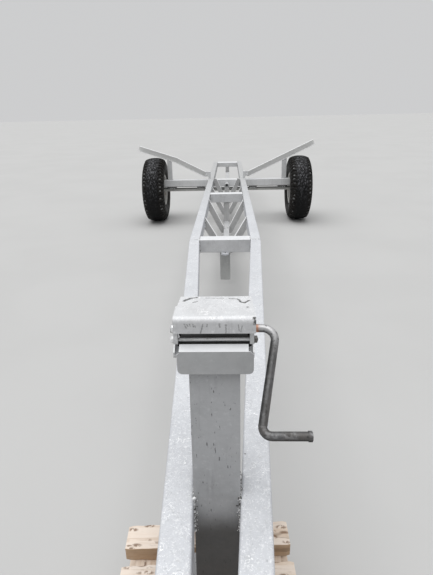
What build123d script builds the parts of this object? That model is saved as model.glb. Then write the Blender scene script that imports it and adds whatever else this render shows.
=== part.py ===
import os
from math import atan, atan2, cos, degrees, radians, sin, tan

from build123d import *

# Yard trailer for a keel boat, in millimetres.
# Origin at the middle of the towing eye's bore, +Y runs from the eye to the rear, +Z is up.
# Heights named "..._height" are measured from the ground.

# Whole trailer
eye_height = 546.0
drawbar_end_y = 270.0
kink_y = 3410.0
kink_clearance = 2.0
rail_end_y = 9000.0
wheel_axis_y = 6680.0
track_half = 1017.0
end_overrun = 60.0

# Rails and crossmembers, rectangular tube
rail_top_height = 596.0
rail_width = 74.0
rail_depth = 100.0
rail_wall = 4.0
rail_corner = 7.0
rail_gap = 374.0
nose_gap = 17.0
crossmember_width = 100.0
crossmember_depth = 100.0
crossmember_wall = 4.0
crossmember_corner = 7.0
middle_crossmember_y = 5420.0
rear_crossmember_width = 200.0
rear_crossmember_depth = 75.0

# Transverse beam over the axle: a middle length between the rails and two outer lengths
beam_width = 100.0
beam_depth = 98.0
beam_top_drop = 12.0
beam_end_clearance = 19.0
beam_wall = 5.0
beam_corner = 7.0

# Axle, square bar with turned stubs
axle_size = 42.0
axle_shoulder_clearance = 7.0
axle_seat_length = 110.0
axle_seat_width = 80.0
stub_radius = 22.5
stub_reach = 60.0
stub_nut_radius = 28.0
stub_nut_thickness = 14.0

# Lower chord, bent at its lowest place, with its posts and V struts
chord_front_height = 281.0
chord_middle_height = 208.0
chord_rear_height = 371.0
chord_width = 60.0
chord_depth = 60.0
chord_wall = 4.0
chord_corner = 5.0
front_post_width = 75.0
truss_post_width = 65.0
truss_post_depth = 70.0
front_post_inset = 5.0
axle_post_lead = 80.0
truss_post_wall = 4.0
strut_size = 55.0
strut_wall = 4.0
strut_top_drop = 6.0
strut_over_chord = 8.0
axle_strut_over_chord = 39.0
axle_strut_head_inset = 46.0
strut_y = {"a": 4200.0, "b": 5060.0, "c": 5960.0}
axle_strut_y = 6600.0

# Half-round lug under the first crossmember, round socket on the axle beam
lug_radius = 28.0
lug_hole_radius = 7.0
lug_thickness = 12.0
lug_reach = 10.0
socket_radius = 27.0
socket_wall = 4.0

# Bunk arms: channels, open to the front
arm_depth = 70.0
arm_width = 45.0
arm_web = 5.0
arm_flange = 6.0
arm_inner_x = 290.0
arm_inner_rise = 50.0
arm_tip_outset = 193.0
arm_tip_over_tyre = 178.0
left_arm_bend_inset = 301.0
left_arm_bend_rise = 15.0
left_arm_tip_drop = 46.0
left_arm_tip_reach = 20.0
arm_post_clearance = 26.0
arm_post_size = 60.0
arm_post_wall = 4.0
bracket_on_rail = 32.0
bracket_reach = 42.0
bracket_height = 95.0
bracket_step = 33.0
bracket_cap_depth = 60.0
bracket_thickness = 8.0
bracket_bolt_radius = 10.0

# Wheels
tyre_radius = 445.0
tyre_width = 302.0
rim_flange_radius = 212.0
rim_seat_radius = 194.0
rim_well_radius = 160.0
rim_width = 246.0
rim_sheet = 6.0
rim_well_width = 90.0
rim_flange_width = 12.0
rim_ramp = 12.0
disc_thickness = 8.0
disc_bore_radius = 58.0
disc_vent_radius = 16.0
disc_vent_circle = 128.0
disc_vent_count = 8
bead_clearance = 0.3
bead_width = 24.0
tyre_wall = 14.0
tread_wall = 26.0
shoulder_drop = 26.0
shoulder_width = 246.0
inner_shoulder_width = 220.0
bead_rise = 6.0
hub_flange_radius = 98.0
hub_flange_thickness = 14.0
hub_barrel_radius = 52.0
hub_inner_length = 105.0
hub_outer_length = 70.0
hub_running_clearance = 0.08
hub_recess_length = 34.0
hub_cap_radius = 34.0
hub_cap_length = 28.0
hub_cap_wall = 3.0
hub_taper = 8.0
stud_count = 6
stud_circle = 80.0
stud_radius = 9.0
stud_nut_radius = 14.0
stud_hole_clearance = 1.0
stud_reach = 24.0

# Winch post
post_width = 112.0
post_depth = 80.0
post_wall = 5.0
post_lean = 5.5
post_top_height = 970.0
post_clearance = 0.3
post_foot_length = 130.0
post_foot_width = 160.0
post_foot_thickness = 10.0

# Winch head
head_width = 171.0
head_sheet = 3.0
side_edge = 9.0
shelf_length = 136.0
apron_stand_off = 18.5
apron_x = 3.0
apron_width = 163.0
apron_top_rise = 12.2
apron_drop = 42.5
apron_corner = 11.0
apron_bevel = 8.0
flange_width = 147.0
flange_reach = 19.0
flange_rise = 8.0
side_height = 81.0
side_length = 62.0
cover_x = 2.5
cover_width = 173.0
cover_rear_width = 162.0
cover_length = 114.0
cover_lip = 36.0
cover_bend = 12.0
cover_lead = 5.0
winch_rod_radius = 4.0
winch_rod_head_radius = 8.0
winch_rod_head_thickness = 10.0
winch_rod_rise = 24.0
winch_rod_clearance = 0.3
shaft_rise = 38.0
shaft_behind_cover = 43.0
rod_behind_cover = 19.0

# Crank, one bent round bar
crank_bar_radius = 9.0
crank_top_bend_radius = 26.0
crank_handle_bend_radius = 17.0
crank_overhang = 50.5
crank_left_reach = 10.0
crank_arm_reach_y = 185.0
crank_arm_reach_z = 135.0
crank_arm_inward = 43.5
crank_handle = 97.0
crank_running_clearance = 0.08
crank_collar_radius = 10.5
crank_collar_thickness = 7.0
crank_collar_inset = 1.0
drum_radius = 12.0
drum_flange_radius = 16.0
drum_flange_thickness = 4.0
drum_end_clearance = 6.0

# Nose
end_plate_thickness = 12.0
end_plate_margin = 4.0
eye_radius = 55.0
eye_bore_radius = 25.0
eye_thickness = 30.0
eye_neck_width = 70.0
nose_gusset_length = 230.0
nose_gusset_thickness = 10.0

# Timber stack under the winch post's foot
timber_thickness = 48.0
timber_width = 98.0
timber_length = 477.0
timber_pitch = 127.0
timber_top_width = 80.0
timber_turn = 2.4
timber_shift_x = -34.0
timber_shift_y = 66.0
timber_spread = 330.0
timber_base_length = 560.0
timber_third_length = 400.0


def level(height):
    """Z of a height over the ground."""
    return height - eye_height


def box_tube(plane, width, depth, wall, length, corner):
    """Rectangular tube centred on the plane and running along its normal."""
    with BuildPart() as tube:
        with BuildSketch(plane):
            RectangleRounded(width, depth, corner)
            Rectangle(width - 2 * wall, depth - 2 * wall, mode=Mode.SUBTRACT)
        extrude(amount=length)
    return tube.part


def save(solid, label):
    solid.label = label
    export_step(solid, "parts/" + label + ".step")


os.makedirs("parts", exist_ok=True)

rail_top = level(rail_top_height)
rail_bottom = rail_top - rail_depth
rail_middle = rail_top - rail_depth / 2
rail_inner_x = rail_gap / 2
rail_outer_x = rail_inner_x + rail_width
rail_centre_x = rail_inner_x + rail_width / 2
nose_centre_x = (nose_gap + rail_width) / 2
drawbar_slope = (rail_centre_x - nose_centre_x) / (kink_y - drawbar_end_y)
drawbar_angle = degrees(atan(drawbar_slope))
drawbar_half = rail_width / 2 / cos(radians(drawbar_angle))
side_signs = {"left": -1, "right": 1}

# Rails: straight rear lengths, and drawbar lengths that run together towards the eye, mitred at the kink
for side, sign in side_signs.items():
    kink_point = (sign * rail_centre_x, kink_y, rail_middle)
    mitre = Plane(origin=kink_point, z_dir=(sign * tan(radians(drawbar_angle) / 2), 1, 0))
    drawbar_x = sign * (nose_centre_x - end_overrun * drawbar_slope)
    drawbar_start = (drawbar_x, drawbar_end_y - end_overrun, rail_middle)
    drawbar_run = kink_y - drawbar_end_y + 2 * end_overrun
    with BuildPart() as drawbar:
        with BuildSketch(Plane(origin=drawbar_start, x_dir=(0, 0, 1), z_dir=(sign * drawbar_slope, 1, 0))):
            RectangleRounded(rail_depth, rail_width, rail_corner)
            Rectangle(rail_depth - 2 * rail_wall, rail_width - 2 * rail_wall, mode=Mode.SUBTRACT)
        extrude(amount=drawbar_run / cos(radians(drawbar_angle)))
        split(bisect_by=Plane.XZ.offset(-drawbar_end_y), keep=Keep.BOTTOM)
        split(bisect_by=mitre, keep=Keep.BOTTOM)
    save(drawbar.part, "drawbar_" + side)

    with BuildPart() as rail:
        rail_end = (sign * rail_centre_x, rail_end_y, rail_middle)
        with BuildSketch(Plane(origin=rail_end, x_dir=(0, 0, 1), z_dir=(0, -1, 0))):
            RectangleRounded(rail_depth, rail_width, rail_corner)
            Rectangle(rail_depth - 2 * rail_wall, rail_width - 2 * rail_wall, mode=Mode.SUBTRACT)
        extrude(amount=rail_end_y - kink_y + end_overrun)
        split(bisect_by=mitre, keep=Keep.TOP)
    save(rail.part, "rail_" + side)

# Crossmembers between the rails. The axle one is the middle length of the transverse beam
crossmember_bottom = rail_top - crossmember_depth
beam_top = rail_top - beam_top_drop
beam_bottom = beam_top - beam_depth
beam_middle_z = beam_top - beam_depth / 2
front_crossmember_y = kink_y + kink_clearance + crossmember_width / 2
rear_crossmember_y = rail_end_y - rear_crossmember_width / 2
# place along Y, width, depth and top of each
crossmember_table = {
    "front": (front_crossmember_y, crossmember_width, crossmember_depth, rail_top),
    "middle": (middle_crossmember_y, crossmember_width, crossmember_depth, rail_top),
    "axle": (wheel_axis_y, beam_width, beam_depth, beam_top),
    "rear": (rear_crossmember_y, rear_crossmember_width, rear_crossmember_depth, rail_top),
}
for label, (place_y, width, depth, top) in crossmember_table.items():
    tube_root = (-rail_inner_x, place_y, top - depth / 2)
    start_plane = Plane(origin=tube_root, x_dir=(0, 1, 0), z_dir=(1, 0, 0))
    tube = box_tube(start_plane, width, depth, crossmember_wall, rail_gap, crossmember_corner)
    save(tube, "crossmember_" + label)

# Outer lengths of the transverse beam, closed at their outer ends
beam_end_x = track_half - hub_inner_length - beam_end_clearance
for side, sign in side_signs.items():
    beam_root = (sign * rail_outer_x, wheel_axis_y, beam_middle_z)
    beam_start = Plane(origin=beam_root, x_dir=(0, 1, 0), z_dir=(sign, 0, 0))
    with BuildPart() as beam:
        with BuildSketch(beam_start):
            RectangleRounded(beam_width, beam_depth, beam_corner)
        extrude(amount=beam_end_x - rail_outer_x)
        with BuildSketch(beam_start):
            Rectangle(beam_width - 2 * beam_wall, beam_depth - 2 * beam_wall)
        extrude(amount=beam_end_x - rail_outer_x - beam_wall, mode=Mode.SUBTRACT)
    save(beam.part, "beam_" + side)

# Axle under the beams, on seat plates. The tyres stand on the ground
axle_middle = level(tyre_radius)
axle_square_end_x = track_half - hub_inner_length - axle_shoulder_clearance
stub_end_x = track_half + stub_reach
axle_seat_thickness = beam_bottom - (axle_middle + axle_size / 2)
with BuildPart() as axle:
    with Locations((0, wheel_axis_y, axle_middle)):
        Box(2 * axle_square_end_x, axle_size, axle_size)
    for sign in side_signs.values():
        with BuildSketch(Plane.YZ.offset(sign * axle_square_end_x)):
            with Locations((wheel_axis_y, axle_middle)):
                Circle(stub_radius)
        extrude(amount=sign * (stub_end_x - axle_square_end_x))
        with BuildSketch(Plane.YZ.offset(sign * stub_end_x)):
            with Locations((wheel_axis_y, axle_middle)):
                RegularPolygon(stub_nut_radius, 6)
        extrude(amount=-sign * stub_nut_thickness)
save(axle.part, "axle")

seat_places_x = (rail_outer_x + axle_seat_length, beam_end_x - axle_seat_length)
with BuildPart() as axle_seats:
    for sign in side_signs.values():
        for place_x in seat_places_x:
            seat_z = beam_bottom - axle_seat_thickness / 2
            with Locations((sign * place_x, wheel_axis_y, seat_z)):
                Box(axle_seat_length, axle_seat_width, axle_seat_thickness)
save(axle_seats.part, "axle_seats")

# Lower chord and its posts. The front post stands before the chord's end, the others on the chord
chord_half = chord_width / 2
front_post_y = front_crossmember_y - crossmember_width / 2 + front_post_inset + truss_post_depth / 2
chord_start_y = front_post_y + truss_post_depth / 2
chord_low_y = middle_crossmember_y
chord_low_z = level(chord_middle_height) + chord_depth / 2
front_slope = (chord_front_height - chord_middle_height) / (chord_low_y - chord_start_y)
rear_slope = (chord_rear_height - chord_middle_height) / (rail_end_y - chord_low_y)
front_half = chord_depth / 2 / cos(atan(front_slope))
rear_half = chord_depth / 2 / cos(atan(rear_slope))


def chord_middle(place_y):
    """Z of the chord's middle line."""
    if place_y < chord_low_y:
        return chord_low_z + (chord_low_y - place_y) * front_slope
    return chord_low_z + (place_y - chord_low_y) * rear_slope


chord_points = [
    (0, chord_start_y - end_overrun, chord_middle(chord_start_y - end_overrun)),
    (0, chord_low_y, chord_low_z),
    (0, rail_end_y + end_overrun, chord_middle(rail_end_y + end_overrun)),
]
with BuildPart() as lower_chord:
    with BuildLine():
        Polyline(*chord_points)
    with BuildSketch(Plane(origin=chord_points[0], x_dir=(1, 0, 0), z_dir=(0, 1, -front_slope))):
        RectangleRounded(chord_width, chord_depth, chord_corner)
        Rectangle(chord_width - 2 * chord_wall, chord_depth - 2 * chord_wall, mode=Mode.SUBTRACT)
    sweep(transition=Transition.RIGHT)
    split(bisect_by=Plane.XZ.offset(-chord_start_y), keep=Keep.BOTTOM)
    split(bisect_by=Plane.XZ.offset(-rail_end_y), keep=Keep.TOP)
save(lower_chord.part, "lower_chord")

rear_post_y = rail_end_y - rear_crossmember_width + truss_post_depth / 2
axle_post_front_y = wheel_axis_y - beam_width / 2 - axle_post_lead
axle_post_depth = axle_post_lead + (beam_width - axle_size) / 2
# place along Y, width, depth, and the underside that each post reaches up to
post_table = {
    "front": (front_post_y, front_post_width, truss_post_depth, crossmember_bottom),
    "middle": (middle_crossmember_y, truss_post_width, truss_post_depth, crossmember_bottom),
    "axle": (axle_post_front_y + axle_post_depth / 2, truss_post_width, axle_post_depth, beam_bottom),
    "rear": (rear_post_y, truss_post_width, truss_post_depth, rail_top - rear_crossmember_depth),
}
for label, (place_y, width, depth, top) in post_table.items():
    with BuildPart() as truss_post:
        with BuildSketch(Plane.XY.offset(level(0))):
            with Locations((0, place_y)):
                Rectangle(width, depth)
                Rectangle(width - 2 * truss_post_wall, depth - 2 * truss_post_wall, mode=Mode.SUBTRACT)
        extrude(amount=top - level(0))
        if place_y < chord_start_y:
            post_end_z = chord_middle(chord_start_y) - chord_depth / 2
            split(bisect_by=Plane.XY.offset(post_end_z), keep=Keep.TOP)
        else:
            front_side = (0, chord_low_y, chord_low_z + front_half)
            rear_side = (0, chord_low_y, chord_low_z + rear_half)
            split(bisect_by=Plane(origin=front_side, z_dir=(0, front_slope, 1)), keep=Keep.TOP)
            split(bisect_by=Plane(origin=rear_side, z_dir=(0, -rear_slope, 1)), keep=Keep.TOP)
    save(truss_post.part, "truss_post_" + label)

# V struts: from the rails' inner faces down to the chord's sides, the rear pair to the axle post
strut_top = rail_top - strut_top_drop
# place along Y, distance of the head from the rail, height of the foot over the chord, X of the foot
strut_table = {label: (place_y, 0.0, strut_over_chord, chord_half) for label, place_y in strut_y.items()}
strut_table["d"] = (axle_strut_y, axle_strut_head_inset, axle_strut_over_chord, truss_post_width / 2)
inner_side = {1: Keep.BOTTOM, -1: Keep.TOP}
for label, (place_y, head_inset, foot_rise, foot_x) in strut_table.items():
    strut_foot = chord_middle(place_y) + chord_depth / 2 + foot_rise
    strut_head_x = rail_inner_x - head_inset
    strut_angle = atan((strut_top - strut_foot) / (strut_head_x - foot_x))
    with BuildPart() as struts:
        for sign in side_signs.values():
            # middle of the strut's section below its head's upper edge
            middle = (sign * strut_head_x, place_y, strut_top - strut_size / 2 / cos(strut_angle))
            down = (-sign * cos(strut_angle), 0, -sin(strut_angle))
            with BuildPart(mode=Mode.PRIVATE) as strut:
                with BuildSketch(Plane(origin=middle, x_dir=(0, 1, 0), z_dir=down)):
                    Rectangle(strut_size, strut_size)
                    Rectangle(strut_size - 2 * strut_wall, strut_size - 2 * strut_wall, mode=Mode.SUBTRACT)
                extrude(amount=rail_gap, both=True)
                split(bisect_by=Plane.YZ.offset(sign * rail_inner_x), keep=inner_side[sign])
                split(bisect_by=Plane.YZ.offset(sign * foot_x), keep=inner_side[-sign])
                split(bisect_by=Plane.XY.offset(chord_middle(place_y) - chord_half), keep=Keep.TOP)
                split(bisect_by=Plane.XY.offset(strut_top), keep=Keep.BOTTOM)
            add(strut.part)
    save(struts.part, "struts_" + label)

# Half-round lug on the first post, under the crossmember's front edge
lug_face_y = front_post_y - truss_post_depth / 2
with BuildPart() as lug:
    with BuildSketch(Plane.XY.offset(crossmember_bottom - lug_thickness)):
        with Locations((0, lug_face_y - lug_reach)):
            Circle(lug_radius)
        with Locations((0, lug_face_y - lug_reach / 2)):
            Rectangle(2 * lug_radius, lug_reach)
        with Locations((0, lug_face_y + lug_radius)):
            Rectangle(4 * lug_radius, 2 * lug_radius, mode=Mode.SUBTRACT)
        with Locations((0, lug_face_y - lug_reach)):
            Circle(lug_hole_radius, mode=Mode.SUBTRACT)
    extrude(amount=lug_thickness)
save(lug.part, "lug_front")

# Round socket that lies on the axle post, before the transverse beam
with BuildPart() as socket:
    with BuildSketch(Plane.XZ.offset(-(wheel_axis_y - beam_width / 2))):
        with Locations((0, beam_bottom + socket_radius)):
            Circle(socket_radius)
            Circle(socket_radius - socket_wall, mode=Mode.SUBTRACT)
    extrude(amount=axle_post_lead)
save(socket.part, "pin_socket")

# Bunk arms. Their outer ends stand over the tyres
arm_tip_height = 2 * tyre_radius + arm_tip_over_tyre
arm_tip_x = track_half + arm_tip_outset
left_arm_bend_x = track_half - left_arm_bend_inset
arm_inner_height = rail_top_height + arm_inner_rise
arm_post_x = track_half - tyre_width / 2 - arm_post_clearance - arm_post_size / 2
arm_slope = atan2(arm_tip_height - arm_inner_height, arm_tip_x - arm_inner_x)
arm_front_y = wheel_axis_y - arm_width / 2
arm_back_y = wheel_axis_y + arm_width / 2


def arm_axis_height(place_x):
    return arm_inner_height + (place_x - arm_inner_x) * tan(arm_slope)


# rise of the arm's axis at the bend, drop of its tip and how much farther out the tip is
arm_bends = {
    "left": (left_arm_bend_rise, left_arm_tip_drop, left_arm_tip_reach),
    "right": (0.0, 0.0, 0.0),
}


def arm_axis(side):
    """Points of an arm's axis: inner end, bend and tip, as X from the middle and Z."""
    bend_rise, tip_drop, tip_reach = arm_bends[side]
    return [
        (arm_inner_x, level(arm_inner_height)),
        (left_arm_bend_x, level(arm_axis_height(left_arm_bend_x) + bend_rise)),
        (arm_tip_x + tip_reach, level(arm_tip_height - tip_drop)),
    ]


def axis_slopes(axis):
    """Slopes of the inner and the outer length of an arm's axis."""
    return [atan2(end[1] - start[1], end[0] - start[0]) for start, end in zip(axis, axis[1:])]


def arm_outline(side, half):
    """Outline of an arm seen from the front, as a band about its axis."""
    axis = arm_axis(side)
    inner_slope, outer_slope = axis_slopes(axis)
    mitre = (inner_slope + outer_slope) / 2
    stretch = half / cos((inner_slope - outer_slope) / 2)
    ends = [(inner_slope, half), (mitre, stretch), (outer_slope, half)]
    upper = [(x - r * sin(a), z + r * cos(a)) for (x, z), (a, r) in zip(axis, ends)]
    lower = [(x + r * sin(a), z - r * cos(a)) for (x, z), (a, r) in zip(axis, ends)]
    return [(side_signs[side] * x, z) for x, z in upper + lower[::-1]]


for side, sign in side_signs.items():
    with BuildPart() as arm:
        with BuildSketch(Plane.XZ.offset(-arm_back_y)):
            with BuildLine():
                Polyline(*arm_outline(side, arm_depth / 2), close=True)
            make_face()
        extrude(amount=arm_width)
        with BuildSketch(Plane.XZ.offset(-(arm_back_y - arm_web))):
            with BuildLine():
                Polyline(*arm_outline(side, arm_depth / 2 - arm_flange), close=True)
            make_face()
        extrude(amount=arm_width, mode=Mode.SUBTRACT)
    save(arm.part, "arm_" + side)

# Arm posts stand on the beams and are cut to the slope of the arms' outer length
post_bore = arm_post_size - 2 * arm_post_wall
for side, sign in side_signs.items():
    tip_x, tip_z = arm_axis(side)[-1]
    outer_slope = axis_slopes(arm_axis(side))[-1]
    with BuildPart() as arm_post:
        with BuildSketch(Plane.XY.offset(beam_top)):
            with Locations((sign * arm_post_x, wheel_axis_y)):
                Rectangle(arm_post_size, arm_post_size)
                Rectangle(post_bore, post_bore, mode=Mode.SUBTRACT)
        extrude(amount=arm_tip_height - arm_inner_height)
        under_tip = (sign * tip_x, wheel_axis_y, tip_z - arm_depth / 2 / cos(outer_slope))
        underside = Plane(origin=under_tip, z_dir=(-sign * sin(outer_slope), 0, cos(outer_slope)))
        split(bisect_by=underside, keep=Keep.BOTTOM)
    save(arm_post.part, "arm_post_" + side)

# Brackets that stand on the rails and hold the arms' inner ends
bracket_inner_x = rail_outer_x - bracket_on_rail
bracket_top = rail_top + bracket_height
for side, sign in side_signs.items():
    with BuildPart() as bracket:
        with BuildSketch(Plane.XZ.offset(-arm_front_y)):
            with BuildLine():
                Polyline(
                    (sign * bracket_inner_x, rail_top),
                    (sign * bracket_inner_x, bracket_top),
                    (sign * (rail_outer_x + bracket_reach), bracket_top),
                    (sign * (rail_outer_x + bracket_reach), rail_top + bracket_step),
                    (sign * rail_outer_x, rail_top + bracket_step),
                    (sign * rail_outer_x, rail_top),
                    close=True,
                )
            make_face()
        extrude(amount=bracket_thickness)
        with BuildSketch(Plane.XZ.offset(-arm_front_y + bracket_thickness)):
            with Locations((sign * arm_inner_x, level(arm_axis_height(arm_inner_x)))):
                RegularPolygon(bracket_bolt_radius, 6)
        extrude(amount=bracket_thickness)
        cap_x = sign * (bracket_inner_x + bracket_on_rail / 2)
        cap_y = arm_front_y - bracket_thickness + bracket_cap_depth / 2
        with Locations((cap_x, cap_y, bracket_top - bracket_thickness / 2)):
            Box(bracket_on_rail, bracket_cap_depth, bracket_thickness)
    save(bracket.part, "arm_bracket_" + side)

# Wheels. Profiles are drawn as (distance from the wheel's middle plane, radius)
rim_half = rim_width / 2
well_half = rim_well_width / 2
bead_half = rim_half - rim_flange_width
axis_height_z = axle_middle


def wheel_profile(points, sign):
    return [(sign * (track_half + x), axis_height_z + r) for x, r in points]


for side, sign in side_signs.items():
    wheel_axis = Axis((0, wheel_axis_y, axis_height_z), (1, 0, 0))
    wheel_plane = Plane(origin=(0, wheel_axis_y, 0), x_dir=(1, 0, 0), z_dir=(0, -1, 0))

    tyre_seat = rim_seat_radius + bead_clearance
    bead_outer = bead_half - bead_clearance
    shoulder_radius = tyre_radius - shoulder_drop
    bulge_radius = (tyre_radius + rim_seat_radius) / 2
    with BuildPart() as tyre:
        with BuildSketch(wheel_plane):
            with BuildLine():
                bead_top = rim_flange_radius + bead_rise
                inner_bead_x = bead_outer - bead_width
                inner_bulge_x = tyre_width / 2 - tyre_wall
                inner_shoulder_radius = shoulder_radius - tread_wall
                outer = [
                    wheel_profile([(flip * bead_outer, tyre_seat), (flip * bead_outer, bead_top)], sign)
                    for flip in (-1, 1)
                ]
                bulge = [wheel_profile([(flip * tyre_width / 2, bulge_radius)], sign)[0] for flip in (-1, 1)]
                shoulder = [
                    wheel_profile([(flip * shoulder_width / 2, shoulder_radius)], sign)[0]
                    for flip in (-1, 1)
                ]
                crown = wheel_profile([(0, tyre_radius)], sign)[0]
                inner_bead = [wheel_profile([(flip * inner_bead_x, tyre_seat)], sign)[0] for flip in (-1, 1)]
                inner_bulge = [
                    wheel_profile([(flip * inner_bulge_x, bulge_radius)], sign)[0]
                    for flip in (-1, 1)
                ]
                inner_crown = wheel_profile([(0, tyre_radius - tread_wall)], sign)[0]
                inner_shoulder = [
                    wheel_profile([(flip * inner_shoulder_width / 2, inner_shoulder_radius)], sign)[0]
                    for flip in (-1, 1)
                ]
                Line(inner_bead[0], outer[0][0])
                Line(outer[0][0], outer[0][1])
                ThreePointArc(outer[0][1], bulge[0], shoulder[0])
                ThreePointArc(shoulder[0], crown, shoulder[1])
                ThreePointArc(shoulder[1], bulge[1], outer[1][1])
                Line(outer[1][1], outer[1][0])
                Line(outer[1][0], inner_bead[1])
                ThreePointArc(inner_bead[1], inner_bulge[1], inner_shoulder[1])
                ThreePointArc(inner_shoulder[1], inner_crown, inner_shoulder[0])
                ThreePointArc(inner_shoulder[0], inner_bulge[0], inner_bead[0])
            make_face()
        revolve(axis=wheel_axis)
    save(tyre.part, "tyre_" + side)

    with BuildPart() as rim:
        with BuildSketch(wheel_plane):
            with BuildLine():
                top_side = [
                    (-rim_half, rim_flange_radius),
                    (-bead_half, rim_flange_radius),
                    (-bead_half, rim_seat_radius),
                    (-well_half - rim_ramp, rim_seat_radius),
                    (-well_half, rim_well_radius),
                    (well_half, rim_well_radius),
                    (well_half + rim_ramp, rim_seat_radius),
                    (bead_half, rim_seat_radius),
                    (bead_half, rim_flange_radius),
                    (rim_half, rim_flange_radius),
                ]
                under_side = [
                    (rim_half, rim_flange_radius - rim_sheet),
                    (bead_half + rim_sheet, rim_seat_radius - rim_sheet),
                    (well_half + rim_ramp + rim_sheet, rim_seat_radius - rim_sheet),
                    (well_half + rim_sheet, rim_well_radius - rim_sheet),
                    (-well_half - rim_sheet, rim_well_radius - rim_sheet),
                    (-well_half - rim_ramp - rim_sheet, rim_seat_radius - rim_sheet),
                    (-bead_half - rim_sheet, rim_seat_radius - rim_sheet),
                    (-rim_half, rim_flange_radius - rim_sheet),
                ]
                Polyline(*wheel_profile(top_side + under_side, sign), close=True)
            make_face()
        revolve(axis=wheel_axis)
        with BuildSketch(Plane.YZ.offset(sign * track_half)):
            with Locations((wheel_axis_y, axis_height_z)):
                Circle(rim_well_radius - rim_sheet / 2)
                Circle(disc_bore_radius, mode=Mode.SUBTRACT)
                with PolarLocations(disc_vent_circle, disc_vent_count):
                    Circle(disc_vent_radius, mode=Mode.SUBTRACT)
                with PolarLocations(stud_circle, stud_count):
                    Circle(stud_radius + stud_hole_clearance, mode=Mode.SUBTRACT)
        extrude(amount=sign * disc_thickness)
    save(rim.part, "rim_" + side)

    with BuildPart() as hub:
        with BuildSketch(wheel_plane):
            with BuildLine():
                bore = stub_radius + hub_running_clearance
                hub_outline = [
                    (-hub_inner_length, bore),
                    (-hub_inner_length, hub_barrel_radius),
                    (-hub_flange_thickness, hub_barrel_radius),
                    (-hub_flange_thickness, hub_flange_radius),
                    (0, hub_flange_radius),
                    (0, hub_barrel_radius),
                    (hub_outer_length, hub_barrel_radius - hub_taper),
                    (hub_outer_length, hub_cap_radius),
                    (hub_outer_length + hub_cap_length, hub_cap_radius),
                    (hub_outer_length + hub_cap_length, 0),
                    (hub_outer_length + hub_cap_length - hub_cap_wall, 0),
                    (hub_outer_length + hub_cap_length - hub_cap_wall, hub_cap_radius - hub_cap_wall),
                    (hub_outer_length - hub_recess_length, hub_cap_radius - hub_cap_wall),
                    (hub_outer_length - hub_recess_length, bore),
                ]
                Polyline(*wheel_profile(hub_outline, sign), close=True)
            make_face()
        revolve(axis=wheel_axis)
        with BuildSketch(Plane.YZ.offset(sign * (track_half + disc_thickness))):
            with Locations((wheel_axis_y, axis_height_z)):
                with PolarLocations(stud_circle, stud_count):
                    RegularPolygon(stud_nut_radius, 6)
        extrude(amount=sign * (stud_reach - disc_thickness))
        with BuildSketch(Plane.YZ.offset(sign * track_half)):
            with Locations((wheel_axis_y, axis_height_z)):
                with PolarLocations(stud_circle, stud_count):
                    Circle(stud_radius)
        extrude(amount=sign * disc_thickness)
    save(hub.part, "hub_" + side)

# Winch post, standing between the rails where their gap has its width
post_slope = tan(radians(post_lean))
gap_at_post = post_width + 2 * post_clearance
post_front_y = drawbar_end_y + (gap_at_post / 2 + drawbar_half - nose_centre_x) / drawbar_slope
post_top = level(post_top_height)
timber_top = level(timber_thickness * 2 + timber_width * 2)
foot_top = timber_top + post_foot_thickness


def post_front(z):
    """Y of the post's front face at the height z."""
    return post_front_y + (z - rail_bottom) * post_slope


post_depth_y = post_depth / cos(radians(post_lean))
post_wall_y = post_wall / cos(radians(post_lean))
with BuildPart() as winch_post:
    with BuildSketch(Plane.YZ.offset(-post_width / 2)):
        with BuildLine():
            Polyline(
                (post_front(foot_top), foot_top),
                (post_front(foot_top) + post_depth_y, foot_top),
                (post_front(post_top) + post_depth_y, post_top),
                (post_front(post_top), post_top),
                close=True,
            )
        make_face()
    extrude(amount=post_width)
    with BuildSketch(Plane.YZ.offset(-post_width / 2 + post_wall)):
        with BuildLine():
            Polyline(
                (post_front(foot_top) + post_wall_y, foot_top),
                (post_front(foot_top) + post_depth_y - post_wall_y, foot_top),
                (post_front(post_top) + post_depth_y - post_wall_y, post_top),
                (post_front(post_top) + post_wall_y, post_top),
                close=True,
            )
        make_face()
    extrude(amount=post_width - 2 * post_wall, mode=Mode.SUBTRACT)
save(winch_post.part, "winch_post")

foot_middle_y = post_front(foot_top) + post_depth_y / 2
with BuildPart() as post_foot:
    with Locations((0, foot_middle_y, timber_top + post_foot_thickness / 2)):
        Box(post_foot_width, post_foot_length, post_foot_thickness)
save(post_foot.part, "winch_post_foot")

# Winch head: shelf on the post's top, apron before it with its upper edge folded back
shelf_top = post_top + head_sheet
cover_front_y = post_front(shelf_top) - head_sheet - cover_lead
apron_front_y = post_front(shelf_top) - apron_stand_off - head_sheet
apron_top = shelf_top + apron_top_rise
apron_bottom = shelf_top - apron_drop
shelf_front_y = apron_front_y + head_sheet
shelf_back_y = apron_front_y + shelf_length
with BuildPart() as winch_base:
    with Locations((0, (shelf_front_y + shelf_back_y) / 2, shelf_top - head_sheet / 2)):
        Box(head_width, shelf_back_y - shelf_front_y, head_sheet)
    with BuildSketch(Plane.XZ.offset(-shelf_front_y)) as apron_sketch:
        with Locations((apron_x, (apron_bottom + apron_top) / 2)):
            Rectangle(apron_width, apron_top - apron_bottom)
        fillet(apron_sketch.vertices().group_by(Axis.Y)[0], apron_corner)
        chamfer(apron_sketch.vertices().group_by(Axis.Y)[-1], apron_bevel)
    extrude(amount=head_sheet)
    with BuildSketch(Plane.YZ.offset(-flange_width / 2)):
        with BuildLine():
            Polyline(
                (apron_front_y, apron_top - head_sheet),
                (apron_front_y, apron_top),
                (apron_front_y + flange_reach, apron_top + flange_rise),
                (apron_front_y + flange_reach, apron_top + flange_rise - head_sheet),
                close=True,
            )
        make_face()
    extrude(amount=flange_width)
save(winch_base.part, "winch_base")

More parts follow.
